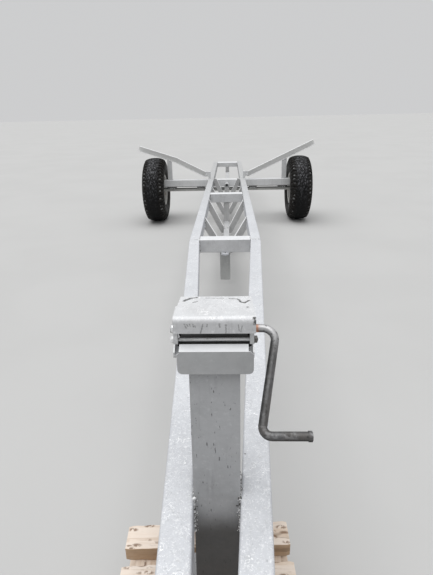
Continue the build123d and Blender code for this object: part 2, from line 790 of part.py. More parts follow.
shaft_y = cover_front_y + shaft_behind_cover
shaft_z = shelf_top + shaft_rise
rod_y = cover_front_y + rod_behind_cover
rod_z = shelf_top + winch_rod_rise
side_front_y = cover_front_y + cover_lead
for side, sign in side_signs.items():
    with BuildPart() as winch_side:
        with BuildSketch(Plane.YZ.offset(sign * head_width / 2)) as side_sketch:
            with Locations((side_front_y + side_length / 2, shelf_top + side_height / 2)):
                Rectangle(side_length, side_height)
            fillet(side_sketch.vertices().group_by(Axis.Y)[-1].sort_by(Axis.X)[0], cover_bend)
            with BuildLine():
                Polyline(
                    (shelf_front_y, shelf_top),
                    (shelf_front_y, apron_top - head_sheet),
                    (side_front_y, apron_top + flange_rise),
                    (side_front_y + head_sheet, shelf_top),
                    close=True,
                )
            make_face()
            with Locations((shaft_y, shaft_z)):
                Circle(crank_bar_radius + crank_running_clearance, mode=Mode.SUBTRACT)
            with Locations((rod_y, rod_z)):
                Circle(winch_rod_radius + winch_rod_clearance, mode=Mode.SUBTRACT)
        extrude(amount=-sign * head_sheet)
        edge_x = sign * (head_width - side_edge) / 2
        edge_bottom = apron_top + flange_rise
        edge_top = shelf_top + side_height - cover_bend
        with Locations((edge_x, side_front_y + head_sheet / 2, (edge_bottom + edge_top) / 2)):
            Box(side_edge, head_sheet, edge_top - edge_bottom)
    save(winch_side.part, "winch_side_" + side)

# Cover: one sheet, bent down to a lip in front
cover_under = shelf_top + side_height
with BuildPart() as winch_cover:
    with BuildSketch(Plane.YZ.offset(cover_x - cover_width / 2)):
        with BuildLine():
            cover_middle_z = cover_under + head_sheet / 2
            lip_middle_y = cover_front_y + head_sheet / 2
            cover_line = FilletPolyline(
                (cover_front_y + cover_length, cover_middle_z),
                (lip_middle_y, cover_middle_z),
                (lip_middle_y, cover_under + head_sheet - cover_lip),
                radius=cover_bend,
            )
        trace(cover_line, line_width=head_sheet)
    extrude(amount=cover_width)
    cover_rear_y = cover_front_y + cover_length
    for sign in side_signs.values():
        with BuildSketch(Plane.XY.offset(cover_under)):
            with BuildLine():
                Polyline(
                    (cover_x + sign * cover_width / 2, cover_front_y + cover_bend),
                    (cover_x + sign * cover_width, cover_front_y + cover_bend),
                    (cover_x + sign * cover_width, cover_rear_y + cover_bend),
                    (cover_x + sign * cover_rear_width / 2, cover_rear_y + cover_bend),
                    (cover_x + sign * cover_rear_width / 2, cover_rear_y),
                    close=True,
                )
            make_face()
        extrude(amount=head_sheet, mode=Mode.SUBTRACT)
save(winch_cover.part, "winch_cover")

with BuildPart() as winch_rod:
    rod_place = (rod_y, rod_z)
    with BuildSketch(Plane.YZ.offset(-head_width / 2 - winch_rod_head_thickness)):
        with Locations(rod_place):
            Circle(winch_rod_radius)
    extrude(amount=head_width + 2 * winch_rod_head_thickness)
    for sign in side_signs.values():
        with BuildSketch(Plane.YZ.offset(sign * head_width / 2)):
            with Locations(rod_place):
                RegularPolygon(winch_rod_head_radius, 6)
        extrude(amount=sign * winch_rod_head_thickness)
save(winch_rod.part, "winch_rod")

# Crank: one bent bar through both side plates, and its drum
crank_axis = (shaft_y, shaft_z)
crank_left_x = -head_width / 2 - crank_left_reach
crank_right_x = head_width / 2 + crank_overhang
handle_x = crank_right_x - crank_arm_inward
handle_y = shaft_y - crank_arm_reach_y
handle_z = shaft_z - crank_arm_reach_z
crank_path_points = [
    (crank_left_x, shaft_y, shaft_z),
    (crank_right_x, shaft_y, shaft_z),
    (handle_x, handle_y, handle_z),
    (handle_x + crank_handle, handle_y, handle_z),
]
with BuildPart() as crank:
    with BuildLine():
        FilletPolyline(*crank_path_points, radius=(crank_top_bend_radius, crank_handle_bend_radius))
    with BuildSketch(Plane.YZ.offset(crank_left_x)):
        with Locations(crank_axis):
            Circle(crank_bar_radius)
    sweep()
save(crank.part, "crank")

with BuildPart() as crank_collar:
    with BuildSketch(Plane.YZ.offset(handle_x + crank_handle - crank_collar_inset)):
        with Locations((handle_y, handle_z)):
            Circle(crank_collar_radius)
            Circle(crank_bar_radius, mode=Mode.SUBTRACT)
    extrude(amount=-crank_collar_thickness)
save(crank_collar.part, "crank_collar")

drum_half = head_width / 2 - head_sheet - drum_end_clearance
with BuildPart() as winch_drum:
    with BuildSketch(Plane.YZ.offset(-drum_half)):
        with Locations(crank_axis):
            Circle(drum_radius)
    extrude(amount=2 * drum_half)
    for sign in side_signs.values():
        with BuildSketch(Plane.YZ.offset(sign * drum_half)):
            with Locations(crank_axis):
                Circle(drum_flange_radius)
        extrude(amount=-sign * drum_flange_thickness)
    with BuildSketch(Plane.YZ.offset(-drum_half)):
        with Locations(crank_axis):
            Circle(crank_bar_radius)
    extrude(amount=2 * drum_half, mode=Mode.SUBTRACT)
save(winch_drum.part, "winch_drum")

# Nose: end plate across the rails, gussets above and below, and the towing eye
end_plate_width = 2 * (nose_centre_x + drawbar_half) + 2 * end_plate_margin
with BuildPart() as end_plate:
    with Locations((0, drawbar_end_y - end_plate_thickness / 2, rail_middle)):
        Box(end_plate_width, end_plate_thickness, rail_depth + 2 * end_plate_margin)
save(end_plate.part, "nose_end_plate")

with BuildPart() as nose_gussets:
    for z in (rail_top, rail_bottom - nose_gusset_thickness):
        with BuildSketch(Plane.XY.offset(z)):
            with BuildLine():
                front_half = nose_centre_x + drawbar_half / 2
                back_half = front_half + nose_gusset_length * drawbar_slope
                Polyline(
                    (-front_half, drawbar_end_y),
                    (front_half, drawbar_end_y),
                    (back_half, drawbar_end_y + nose_gusset_length),
                    (-back_half, drawbar_end_y + nose_gusset_length),
                    close=True,
                )
            make_face()
        extrude(amount=nose_gusset_thickness)
save(nose_gussets.part, "nose_gussets")

with BuildPart() as towing_eye:
    with BuildSketch(Plane.XY.offset(-eye_thickness / 2)):
        Circle(eye_radius)
        with Locations((0, (drawbar_end_y - end_plate_thickness) / 2)):
            Rectangle(eye_neck_width, drawbar_end_y - end_plate_thickness)
        Circle(eye_bore_radius, mode=Mode.SUBTRACT)
    extrude(amount=eye_thickness)
save(towing_eye.part, "towing_eye")

# Timber stack: three layers, crossed, and two pieces on top with the post's foot on the front one
stack_x = timber_shift_x
stack_y = foot_middle_y + timber_shift_y


def timber_place(along_x, along_y, height):
    """Place of a piece in the turned stack."""
    turn = radians(timber_turn)
    place_x = stack_x + along_x * cos(turn) - along_y * sin(turn)
    place_y = stack_y + along_x * sin(turn) + along_y * cos(turn)
    return Location((place_x, place_y, level(height)), (0, 0, timber_turn))


# The lower layers end at the rear edge of the top ones
timber_back = timber_pitch / 2 + timber_top_width / 2
second_height = timber_width + timber_width / 2
third_height = 2 * timber_width + timber_thickness / 2
top_height = 2 * timber_width + timber_thickness + timber_thickness / 2
with BuildPart() as timber_base:
    for shift in (-1, 1):
        along_y = timber_back - timber_base_length / 2
        with Locations(timber_place(shift * timber_spread / 2, along_y, timber_width / 2)):
            Box(timber_width, timber_base_length, timber_width)
save(timber_base.part, "timber_base")

with BuildPart() as timber_second:
    for shift in (0, 1):
        along_y = timber_back - timber_width / 2 - shift * timber_spread
        with Locations(timber_place(0, along_y, second_height)):
            Box(timber_length, timber_width, timber_width)
save(timber_second.part, "timber_second")

with BuildPart() as timber_third:
    for shift in (-1, 1):
        along_y = timber_back - timber_third_length / 2
        with Locations(timber_place(shift * timber_spread / 2, along_y, third_height)):
            Box(timber_width, timber_third_length, timber_thickness)
save(timber_third.part, "timber_third")

for label, shift in (("front", -1), ("rear", 1)):
    with BuildPart() as timber_piece:
        with Locations(timber_place(0, shift * timber_pitch / 2, top_height)):
            Box(timber_length, timber_top_width, timber_thickness)
    save(timber_piece.part, "timber_top_" + label)
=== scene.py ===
import math
import random

import bpy
from mathutils import Matrix, Vector, noise


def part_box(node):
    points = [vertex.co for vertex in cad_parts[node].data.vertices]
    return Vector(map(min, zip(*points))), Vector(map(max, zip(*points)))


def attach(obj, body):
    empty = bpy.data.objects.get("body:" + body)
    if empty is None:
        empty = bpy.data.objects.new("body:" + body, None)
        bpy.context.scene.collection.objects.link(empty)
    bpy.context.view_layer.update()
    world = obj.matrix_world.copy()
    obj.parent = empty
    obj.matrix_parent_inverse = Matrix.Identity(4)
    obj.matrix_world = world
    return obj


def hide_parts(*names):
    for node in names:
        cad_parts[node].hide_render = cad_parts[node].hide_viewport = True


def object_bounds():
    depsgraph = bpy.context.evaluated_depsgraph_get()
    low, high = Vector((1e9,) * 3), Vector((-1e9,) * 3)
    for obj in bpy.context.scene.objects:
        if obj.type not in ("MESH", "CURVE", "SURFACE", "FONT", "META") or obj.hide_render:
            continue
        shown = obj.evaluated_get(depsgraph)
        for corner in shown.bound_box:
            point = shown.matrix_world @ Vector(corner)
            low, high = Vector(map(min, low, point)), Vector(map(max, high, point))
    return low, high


# Yard trailer for a keel boat: looks, welds, fasteners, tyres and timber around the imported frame.
# Metres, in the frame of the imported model: +Y to the rear, +Z up, origin in the towing eye.

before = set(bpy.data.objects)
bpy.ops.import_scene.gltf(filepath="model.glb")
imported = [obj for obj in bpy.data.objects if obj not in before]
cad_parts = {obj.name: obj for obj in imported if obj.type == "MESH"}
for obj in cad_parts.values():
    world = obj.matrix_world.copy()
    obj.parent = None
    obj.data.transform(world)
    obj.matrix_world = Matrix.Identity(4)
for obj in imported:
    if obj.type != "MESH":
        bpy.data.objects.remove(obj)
cad_low, cad_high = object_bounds()
random.seed(11)


def middle_of(node):
    """Middle of a node's box."""
    low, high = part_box(node)
    return (low + high) / 2


# Places and sizes that several sections share

SIDES = {"left": -1, "right": 1}
GROUND = cad_low.z
rail_low, rail_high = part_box("rail_right")
RAIL_INNER, RAIL_OUTER = rail_low.x, rail_high.x
RAIL_BOTTOM, RAIL_TOP = rail_low.z, rail_high.z
TRACK = middle_of("tyre_right").x
WHEEL_Y = middle_of("rim_right").y
WHEEL_Z = middle_of("rim_right").z
TYRE_RADIUS = 0.445
# lugs around a shoulder, how far one side's are turned against the other's, and their slant in lugs a metre
LUGS = 49
SIDE_SHIFT = 0.5
LUG_SLANT = 4.0


# Materials

class Look:
    """A material and the few steps that its node tree is built from."""

    def __init__(self, name, roughness=0.5, metallic=0.0):
        self.material = bpy.data.materials.new(name)
        self.material.use_nodes = True
        self.tree = self.material.node_tree
        self.shader = self.tree.nodes["Principled BSDF"]
        self.shader.inputs["Roughness"].default_value = roughness
        self.shader.inputs["Metallic"].default_value = metallic
        coords = self.tree.nodes.new("ShaderNodeTexCoord")
        self.place = coords.outputs["Object"]
        self.normal = coords.outputs["Normal"]

    def put(self, socket, value):
        if isinstance(value, bpy.types.NodeSocket):
            self.tree.links.new(value, socket)
        else:
            socket.default_value = value

    def math(self, operation, a, b=0.0):
        step = self.tree.nodes.new("ShaderNodeMath")
        step.operation = operation
        self.put(step.inputs[0], a)
        self.put(step.inputs[1], b)
        return step.outputs[0]

    def times(self, first, *others):
        """The product of masks and numbers."""
        for other in others:
            first = self.math("MULTIPLY", first, other)
        return first

    def rest(self, mask):
        """What a mask leaves free."""
        return self.math("SUBTRACT", 1.0, mask)

    def distance(self, a, b):
        """Length of the vector with the parts a and b."""
        return self.math("SQRT", self.math("ADD", self.math("POWER", a, 2.0), self.math("POWER", b, 2.0)))

    def ramp(self, value, low, high, out_low=0.0, out_high=1.0):
        step = self.tree.nodes.new("ShaderNodeMapRange")
        step.interpolation_type = "SMOOTHSTEP"
        self.put(step.inputs["Value"], value)
        for name, number in (("From Min", low), ("From Max", high), ("To Min", out_low), ("To Max", out_high)):
            step.inputs[name].default_value = number
        return step.outputs["Result"]

    def vector(self, operation, a, b, output="Vector"):
        step = self.tree.nodes.new("ShaderNodeVectorMath")
        step.operation = operation
        self.put(step.inputs[0], a)
        self.put(step.inputs[1], b)
        return step.outputs[output]

    def stretch(self, scale, place=None):
        return self.vector("MULTIPLY", place or self.place, scale)

    def split(self, value):
        step = self.tree.nodes.new("ShaderNodeSeparateXYZ")
        self.put(step.inputs[0], value)
        return step.outputs

    def upward(self, low=0.35, high=0.85):
        """1 on what faces up, 0 on what stands or faces down."""
        return self.ramp(self.split(self.normal)[2], low, high)

    def texture(self, kind, scale, place=None, detail=2.0):
        """The outputs of a Noise or Voronoi texture."""
        step = self.tree.nodes.new("ShaderNodeTex" + kind)
        self.put(step.inputs["Vector"], place or self.place)
        step.inputs["Scale"].default_value = scale
        if kind == "Noise":
            step.inputs["Detail"].default_value = detail
        return step.outputs

    def noise(self, scale, low=0.35, high=0.65, detail=4.0, place=None):
        return self.ramp(self.texture("Noise", scale, place, detail)["Fac"], low, high)

    def cells(self, scale, place):
        return self.split(self.texture("Voronoi", scale, place)["Color"])[0]

    def dots(self, scale, size, share, place=None):
        """Soft round spots, in a share of the cells only."""
        cell = self.texture("Voronoi", scale, place)
        spot = self.ramp(cell["Distance"], size * 0.5, size, 1.0, 0.0)
        return self.times(spot, self.ramp(self.split(cell["Color"])[1], 1.0 - share, 1.04 - share))

    def contours(self, scale, width):
        """Thin curved lines, as zinc crystals leave them."""
        level = self.texture("Noise", scale, detail=1.5)["Fac"]
        gap = self.math("ABSOLUTE", self.math("SUBTRACT", level, 0.5))
        return self.ramp(gap, width * 0.4, width, 1.0, 0.0)

    def stroke(self, start, end, width):
        """A soft line between two points, with a slightly ragged edge."""
        start, end = Vector(start), Vector(end)
        along = end - start
        away = self.vector("SUBTRACT", self.place, start)
        share = self.math("DIVIDE", self.vector("DOT_PRODUCT", away, along, "Value"), along.length_squared)
        share.node.use_clamp = True
        nearest = self.tree.nodes.new("ShaderNodeVectorMath")
        nearest.operation = "SCALE"
        nearest.inputs[0].default_value = along
        self.put(nearest.inputs["Scale"], share)
        gap = self.vector("DISTANCE", away, nearest.outputs[0], "Value")
        ragged = self.math("ADD", gap, self.times(self.noise(260.0, 0.2, 0.8), width * 0.7))
        return self.ramp(ragged, width * 0.45, width * 1.15, 1.0, 0.0)

    def mix(self, factor, a, b):
        step = self.tree.nodes.new("ShaderNodeMix")
        step.data_type = "RGBA"
        self.put(step.inputs["Factor"], factor)
        for socket, value in ((step.inputs[6], a), (step.inputs[7], b)):
            self.put(socket, value if isinstance(value, bpy.types.NodeSocket) else (*value, 1.0))
        return step.outputs[2]

    def wash(self, colour, mask, share, tone):
        """A share of a tone over the colour, where the mask lets it through."""
        return self.mix(self.times(mask, share), colour, tone)

    def finish(self, colour, roughness=None, bumps=()):
        """Connects the colour, the roughness and the bumps, each as height, strength and distance."""
        self.put(self.shader.inputs["Base Color"], colour)
        if roughness is not None:
            self.put(self.shader.inputs["Roughness"], roughness)
        before = None
        for height, strength, distance in bumps:
            step = self.tree.nodes.new("ShaderNodeBump")
            step.inputs["Strength"].default_value = strength
            step.inputs["Distance"].default_value = distance
            self.put(step.inputs["Height"], height)
            if before is not None:
                self.put(step.inputs["Normal"], before)
            before = step.outputs["Normal"]
        if before is not None:
            self.put(self.shader.inputs["Normal"], before)
        return self.material


def scaled(values, factor):
    return [factor * value for value in values]


# tones of the painted light that makes what faces up lighter
TOP_LIGHT_TONE = (0.76, 0.77, 0.785)
STRONG_TOP_LIGHT_TONE = (0.90, 0.905, 0.91)


def galvanised(
    name, pale, dull, spots=1.0, streaks=0.5, grime=0.3, top_light=0.35, top_light_tone=TOP_LIGHT_TONE, lit=(0.35, 0.85),
    marks=None,
):
    """Weathered zinc: chalky clouds, painted light that makes what faces up lighter, frosty flecks on what
    faces up, few dark pits, faint runs down the sides.

    The last argument is one of the next five functions with its values, for marks that this steel has alone.
    """
    look = Look(name, metallic=0.2)
    upward = look.upward(*lit)
    spangle = look.cells(120.0, look.stretch((1.0, 0.8, 1.0)))
    mottle = look.noise(38.0, 0.3, 0.7, 7.0)
    drift = look.noise(95.0, 0.56, 0.74, 6.0)
    colour = look.wash(pale, look.noise(5.0, 0.36, 0.66, 7.0), 0.8, dull)
    colour = look.wash(colour, spangle, 0.10, scaled(dull, 0.6))
    colour = look.wash(colour, mottle, 0.3, scaled(pale, 1.2))
    # painted light: what faces up is washed lighter
    colour = look.wash(colour, upward, top_light, top_light_tone)
    runs = look.times(look.noise(1.0, 0.54, 0.8, 5.0, look.stretch((75.0, 75.0, 2.6))), look.rest(upward))
    colour = look.wash(colour, runs, streaks, scaled(dull, 0.5))
    fine = look.times(look.noise(330.0, 0.54, 0.70, 3.0), look.math("ADD", look.times(upward, 0.75), 0.25))
    colour = look.wash(colour, fine, 0.42 * spots, (0.93, 0.935, 0.94))
    colour = look.wash(colour, drift, 0.35 * spots, (0.88, 0.885, 0.89))
    curls = look.times(look.contours(52.0, 0.011), look.noise(17.0, 0.48, 0.62, 4.0), upward)
    colour = look.wash(colour, curls, 0.75 * spots, (0.95, 0.955, 0.96))
    colour = look.wash(colour, look.noise(150.0, 0.60, 0.76, 4.0), 0.35 * spots, scaled(dull, 0.55))
    colour = look.wash(colour, look.dots(34.0, 0.10, 0.10), 0.75 * spots, (0.07, 0.07, 0.065))
    colour = look.wash(colour, look.noise(11.0, 0.58, 0.82, 8.0), grime, (0.24, 0.225, 0.19))
    if marks:
        layer, *values = marks
        colour = layer(look, colour, *values)
    roughness = look.ramp(mottle, 0.0, 1.0, 0.45, 0.62)
    bumps = ((spangle, 0.06, 0.0005), (mottle, 0.2, 0.0010), (drift, 0.12, 0.0006))
    return look.finish(colour, roughness, bumps)


def scratched(look, colour, strokes):
    """Dark strokes, each with its start, end, width and depth."""
    for start, end, width, depth in strokes:
        colour = look.wash(colour, look.stroke(start, end, width), depth, (0.045, 0.045, 0.042))
    return colour


def dashes_and_shaded_foot(look, colour, height):
    """Short dark dashes all over, and painted shade under a height, most of it on the front."""
    dashes = look.noise(1.0, 0.665, 0.71, 3.0, look.stretch((190.0, 190.0, 48.0)))
    colour = look.wash(colour, dashes, 0.75, (0.05, 0.05, 0.05))
    # painted shade below the height, with a ragged edge, strongest on what faces the front
    ragged = look.math("ADD", look.split(look.place)[2], look.times(look.noise(14.0, 0.2, 0.8, 5.0), 0.02))
    low = look.ramp(ragged, height - 0.098, height, 1.0, 0.0)
    front = look.ramp(look.split(look.normal)[1], -0.3, -0.8, 0.35, 0.88)
    return look.mix(look.times(low, front), colour, (0.030, 0.028, 0.026))


def shaded_between(look, colour, start, stop, half, tone, on_top):
    """A shade between two places on Y, within half a width of the middle, with its share on what faces up."""
    where = look.split(look.place)
    lengthwise = look.times(
        look.ramp(where[1], start, start + 0.003, 0.0, 0.96), look.ramp(where[1], stop, stop + 0.02, 1.0, 0.0)
    )
    # the shade is narrower at its front, where light falls in beside the flap
    widening = look.ramp(where[1], start + 0.022, start + 0.028, 0.0, 0.006)
    reach = look.math("SUBTRACT", look.math("ABSOLUTE", where[0]), widening)
    crosswise = look.ramp(reach, half, half + 0.001, 1.0, 0.0)
    inside = look.times(lengthwise, crosswise, look.rest(look.times(look.upward(), 1.0 - on_top)))
    gloss = look.math("SUBTRACT", 0.5, look.times(inside, 0.5 * on_top))
    look.put(look.shader.inputs["Specular IOR Level"], gloss)
    return look.mix(inside, colour, tone)


def graded_shade(look, colour, clear, dark, depth):
    """A shade that grows from a clear height to a dark one."""
    return look.mix(look.ramp(look.split(look.place)[2], clear, dark, 0.0, depth), colour, (0.04, 0.04, 0.038))


def aged(look, colour, amount):
    """Duller zinc with lichen, more of it towards the rear."""
    old = look.ramp(look.split(look.place)[1], 3.4, 7.6, 0.0, amount)
    colour = look.mix(old, colour, (0.36, 0.36, 0.345))
    lichen = look.times(look.noise(85.0, 0.55, 0.72, 6.0), look.ramp(old, 0.0, 0.4, 0.1, 0.65))
    return look.mix(lichen, colour, (0.20, 0.195, 0.15))


def painted(name, paint, rust, rust_amount, roughness):
    """Old paint with chips, rust that bleeds from them, and road dust."""
    look = Look(name, roughness)
    stain = look.noise(24.0, 0.62 - 0.2 * rust_amount, 0.8, 7.0)
    chips = look.noise(120.0, 0.68, 0.72, 3.0)
    colour = look.wash(paint, look.noise(9.0, 0.3, 0.7, 6.0), 0.6, scaled(paint, 0.7))
    colour = look.wash(colour, stain, 0.8, rust)
    colour = look.wash(colour, chips, 0.7, scaled(rust, 0.5))
    colour = look.wash(colour, look.noise(5.0, 0.4, 0.8, 5.0), 0.35, (0.30, 0.26, 0.20))
    rough = look.ramp(stain, 0.0, 1.0, roughness, 0.9)
    return look.finish(colour, rough, ((stain, 0.3, 0.0008), (chips, 0.4, -0.0005)))


def worn_bar(name, tone, exit_x, handle_z):
    """Bare bar steel, brown in the pits, polished by the hand and rusty where it leaves the side plate;
    painted highlight on the upper bend and on what faces up, painted shade on the side by the trailer and
    underneath.
    """
    look = Look(name, metallic=0.45)
    where, facing = look.split(look.place), look.split(look.normal)
    patches = look.noise(26.0, 0.4, 0.68, 7.0)
    pits = look.noise(210.0, 0.6, 0.72, 3.0)
    brushed = look.noise(1.0, 0.3, 0.7, 5.0, look.stretch((140.0, 40.0, 40.0)))
    colour = look.mix(brushed, tone, scaled(tone, 1.5))
    colour = look.wash(colour, patches, 0.5, (0.085, 0.072, 0.062))
    colour = look.wash(colour, pits, 0.4, (0.035, 0.03, 0.028))
    # the upper bend gets a painted highlight
    colour = look.wash(colour, look.ramp(where[2], 0.428, 0.474), 0.9, (0.50, 0.50, 0.505))
    # painted shade darkens the arm's side by the trailer and all that faces down
    arm_low, arm_start = handle_z + 0.010, handle_z + 0.024
    on_arm = look.times(look.ramp(where[2], arm_low, arm_start), look.ramp(where[2], 0.470, 0.445))
    inner = look.times(look.ramp(facing[0], 0.85, -0.60), on_arm)
    shaded_side = look.math("MAXIMUM", inner, look.ramp(facing[2], 0.22, -0.40))
    colour = look.wash(colour, shaded_side, 0.85, (0.026, 0.026, 0.026))
    # bright patches of wear on what faces up, partly painted highlight, most of them on the handle
    rubbed_and_lit = look.times(look.noise(85.0, 0.50, 0.62, 5.0), look.ramp(facing[2], -0.1, 0.4))
    rubbed_and_lit = look.times(rubbed_and_lit, look.ramp(where[2], arm_low, arm_start, 0.48, 0.12))
    colour = look.mix(rubbed_and_lit, colour, (0.26, 0.26, 0.265))
    colour = look.wash(colour, look.noise(130.0, 0.56, 0.64, 4.0), 0.55, (0.022, 0.021, 0.020))
    outside = look.ramp(where[0], exit_x + 0.005, exit_x + 0.015, 1.0, 0.0)
    near_plate = look.times(outside, look.ramp(where[0], exit_x - 0.003, exit_x - 0.001))
    ring = look.times(near_plate, look.ramp(where[2], 0.44, 0.45), look.noise(150.0, 0.15, 0.45))
    colour = look.mix(ring, colour, (0.46, 0.17, 0.065))
    rough = look.ramp(patches, 0.0, 1.0, 0.34, 0.55)
    return look.finish(colour, rough, ((patches, 0.2, 0.0006), (pits, 0.35, -0.0005)))


def zinc_plate(name, metallic):
    """Bright plated fasteners with white bloom in patches."""
    look = Look(name, metallic=metallic)
    bloom = look.noise(90.0, 0.4, 0.7, 5.0)
    colour = look.mix(bloom, (0.76, 0.77, 0.78), (0.58, 0.58, 0.57))
    colour = look.wash(colour, look.noise(190.0, 0.62, 0.75, 3.0), 0.35, (0.30, 0.27, 0.23))
    return look.finish(colour, look.ramp(bloom, 0.0, 1.0, 0.25, 0.5), ((bloom, 0.2, 0.0005),))


def rubber(name):
    """Old tyre rubber: black, dusty in its grooves, with pale lug ends of dust and painted highlight, and
    painted highlights in flecks on the crown.
    """
    look = Look(name)
    look.shader.inputs["Specular IOR Level"].default_value = 0.14
    where = look.split(look.place)
    local = look.math("SUBTRACT", where[0], look.times(look.math("SIGN", where[0]), TRACK))
    off_middle = look.math("ABSOLUTE", local)
    ahead = look.math("SUBTRACT", where[1], WHEEL_Y)
    above = look.math("SUBTRACT", where[2], WHEEL_Z)
    radius = look.distance(ahead, above)
    tone = look.noise(11.0, 0.3, 0.7, 7.0)
    colour = look.mix(tone, (0.0022, 0.0022, 0.0026), (0.0060, 0.0060, 0.0062))
    grooves = look.ramp(radius, TYRE_RADIUS - 0.021, TYRE_RADIUS - 0.004, 1.0, 0.0)
    dust = look.times(look.noise(30.0, 0.25, 0.65, 6.0), grooves)
    colour = look.wash(colour, dust, 0.14, (0.085, 0.075, 0.060))
    # pale ends on the shoulder lugs, part dust and part painted highlight, which tread_depth places with the
    # same phase
    phase = look.times(look.math("ARCTAN2", above, ahead), LUGS / (2 * math.pi))
    phase = look.math("ADD", phase, look.times(look.math("LESS_THAN", local, 0.0), SIDE_SHIFT))
    phase = look.math("ADD", phase, look.times(off_middle, LUG_SLANT))
    wave = look.math("COSINE", look.times(phase, 2 * math.pi))
    shoulder = look.times(look.ramp(off_middle, 0.090, 0.104), look.ramp(radius, 0.390, 0.404))
    ends = look.times(look.ramp(wave, 0.20, 0.70), shoulder, look.noise(15.0, 0.44, 0.54, 5.0))
    colour = look.wash(colour, ends, 0.85, (0.27, 0.272, 0.275))
    # painted highlights in flecks on the crown, stronger towards the top of the wheel
    crown = look.times(
        look.ramp(radius, TYRE_RADIUS - 0.015, TYRE_RADIUS - 0.003), look.ramp(above, -0.25, 0.48, 0.05, 1.0)
    )
    flecks = look.times(look.noise(1.0, 0.50, 0.64, 5.0, look.stretch((95.0, 36.0, 36.0))), crown)
    colour = look.wash(colour, flecks, 0.85, (0.155, 0.158, 0.168))
    cracks = look.noise(1.0, 0.58, 0.66, 4.0, look.stretch((260.0, 50.0, 50.0)))
    rough = look.ramp(tone, 0.0, 1.0, 0.42, 0.7)
    return look.finish(colour, rough, ((tone, 0.25, 0.001), (flecks, 0.4, 0.0015), (cracks, 0.3, -0.0006)))


def weld_metal(name):
    """Bright zinc over lumpy welds, with slag and soot in the hollows."""
    look = Look(name, roughness=0.5, metallic=0.3)
    lumps = look.noise(150.0, 0.40, 0.60, 4.0)
    colour = look.mix(lumps, (0.075, 0.074, 0.072), (0.80, 0.805, 0.81))
    return look.finish(colour, None, ((lumps, 0.5, 0.0015),))


def timber(name, turned, pith, pale):
    """Sawn softwood: rings around a pith, so that sides show grain and ends show arcs; knots, weathering."""
    look = Look(name, roughness=0.72)

    def grain(along, across):
        """The place, scaled along the board and across it."""
        return look.stretch((across, along, across) if turned else (along, across, across))

    wander = look.texture("Noise", 4.0, grain(0.11, 2.2))["Color"]
    where = look.split(look.vector("ADD", grain(0.05, 1.0), look.stretch((0.05, 0.05, 0.05), wander)))
    side = where[0] if turned else where[1]
    radius = look.distance(look.math("SUBTRACT", side, pith[0]), look.math("SUBTRACT", where[2], pith[1]))
    late = look.ramp(look.math("SINE", look.times(radius, 1150.0)), 0.1, 0.95)
    fibres = look.noise(1.0, 0.35, 0.7, 4.0, grain(21.0, 420.0))
    upward = look.upward(0.5, 0.9)
    colour = look.wash(pale, late, 0.55, (0.46, 0.29, 0.155))
    colour = look.wash(colour, fibres, 0.3, (0.80, 0.68, 0.52))
    knots = look.dots(5.5, 0.13, 0.45, grain(1.0, 2.0))
    colour = look.wash(colour, knots, 0.85, (0.20, 0.095, 0.04))
    bleach = look.times(upward, look.noise(16.0, 0.1, 0.6, 6.0, grain(0.15, 3.0)))
    colour = look.wash(colour, bleach, 0.80, (0.78, 0.70, 0.63))
    grey = look.noise(9.0, 0.45, 0.75, 6.0)
    colour = look.wash(colour, grey, 0.30, (0.42, 0.385, 0.355))
    veins = look.noise(1.0, 0.52, 0.62, 5.0, grain(3.75, 75.0))
    colour = look.wash(colour, veins, 0.26, (0.40, 0.26, 0.15))
    scuffs = look.noise(1.0, 0.60, 0.68, 3.0, grain(9.0, 34.0))
    colour = look.wash(colour, scuffs, 0.62, (0.22, 0.155, 0.105))
    nicks = look.times(look.dots(54.0, 0.46, 1.0, grain(0.42, 1.0)), upward, look.noise(75.0, 0.40, 0.52, 3.0))
    colour = look.wash(colour, nicks, 0.85, (0.17, 0.095, 0.05))
    sides = look.rest(look.ramp(look.math("ABSOLUTE", look.split(look.normal)[2]), 0.4, 0.8))
    colour = look.wash(colour, sides, 0.38, (0.32, 0.205, 0.12))
    return look.finish(colour, None, ((late, 0.22, 0.0007), (fibres, 0.3, 0.0007)))


cover_low, cover_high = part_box("winch_cover")
# scratches on the cover's top: x and distance from the rear edge at start and end, width, depth
top_scratches = (
    (-0.068, 0.024, -0.056, 0.011, 0.0068, 1.0),
    (-0.056, 0.011, -0.040, 0.006, 0.0046, 0.95),
    (-0.047, 0.033, -0.038, 0.028, 0.0042, 0.80),
    (-0.020, 0.009, 0.020, 0.011, 0.0028, 0.55),
    (0.034, 0.013, 0.052, 0.016, 0.0040, 0.88),
    (0.055, 0.020, 0.059, 0.032, 0.0050, 0.95),
    (0.059, 0.032, 0.068, 0.037, 0.0052, 1.0),
    (0.068, 0.037, 0.078, 0.024, 0.0048, 1.0),
    (0.073, 0.060, 0.074, 0.063, 0.0054, 0.55),
)
# runs down its lip: x and distance under the top at start and end, width, depth
lip_runs = (
    (-0.0600, 0.014, -0.0570, 0.022, 0.0031, 0.48),
    (-0.0545, 0.015, -0.0530, 0.0185, 0.0026, 0.55),
    (-0.0495, 0.014, -0.0480, 0.019, 0.0026, 0.55),
    (-0.0425, 0.015, -0.0410, 0.0205, 0.0028, 0.60),
    (-0.0380, 0.017, -0.0375, 0.021, 0.0026, 0.50),
    (-0.0215, 0.014, -0.0270, 0.034, 0.0028, 0.57),
    (-0.0125, 0.0145, -0.0135, 0.019, 0.0026, 0.50),
    (0.0130, 0.014, 0.0132, 0.021, 0.0035, 0.54),
    (0.0260, 0.015, 0.0262, 0.034, 0.0033, 0.51),
    (0.0520, 0.016, 0.0540, 0.030, 0.0020, 0.54),
    (0.0600, 0.018, 0.0570, 0.032, 0.0024, 0.48),
)
cover_strokes = [
    ((x0, cover_high.y - y0, cover_high.z), (x1, cover_high.y - y1, cover_high.z), width, depth)
    for x0, y0, x1, y1, width, depth in top_scratches
]
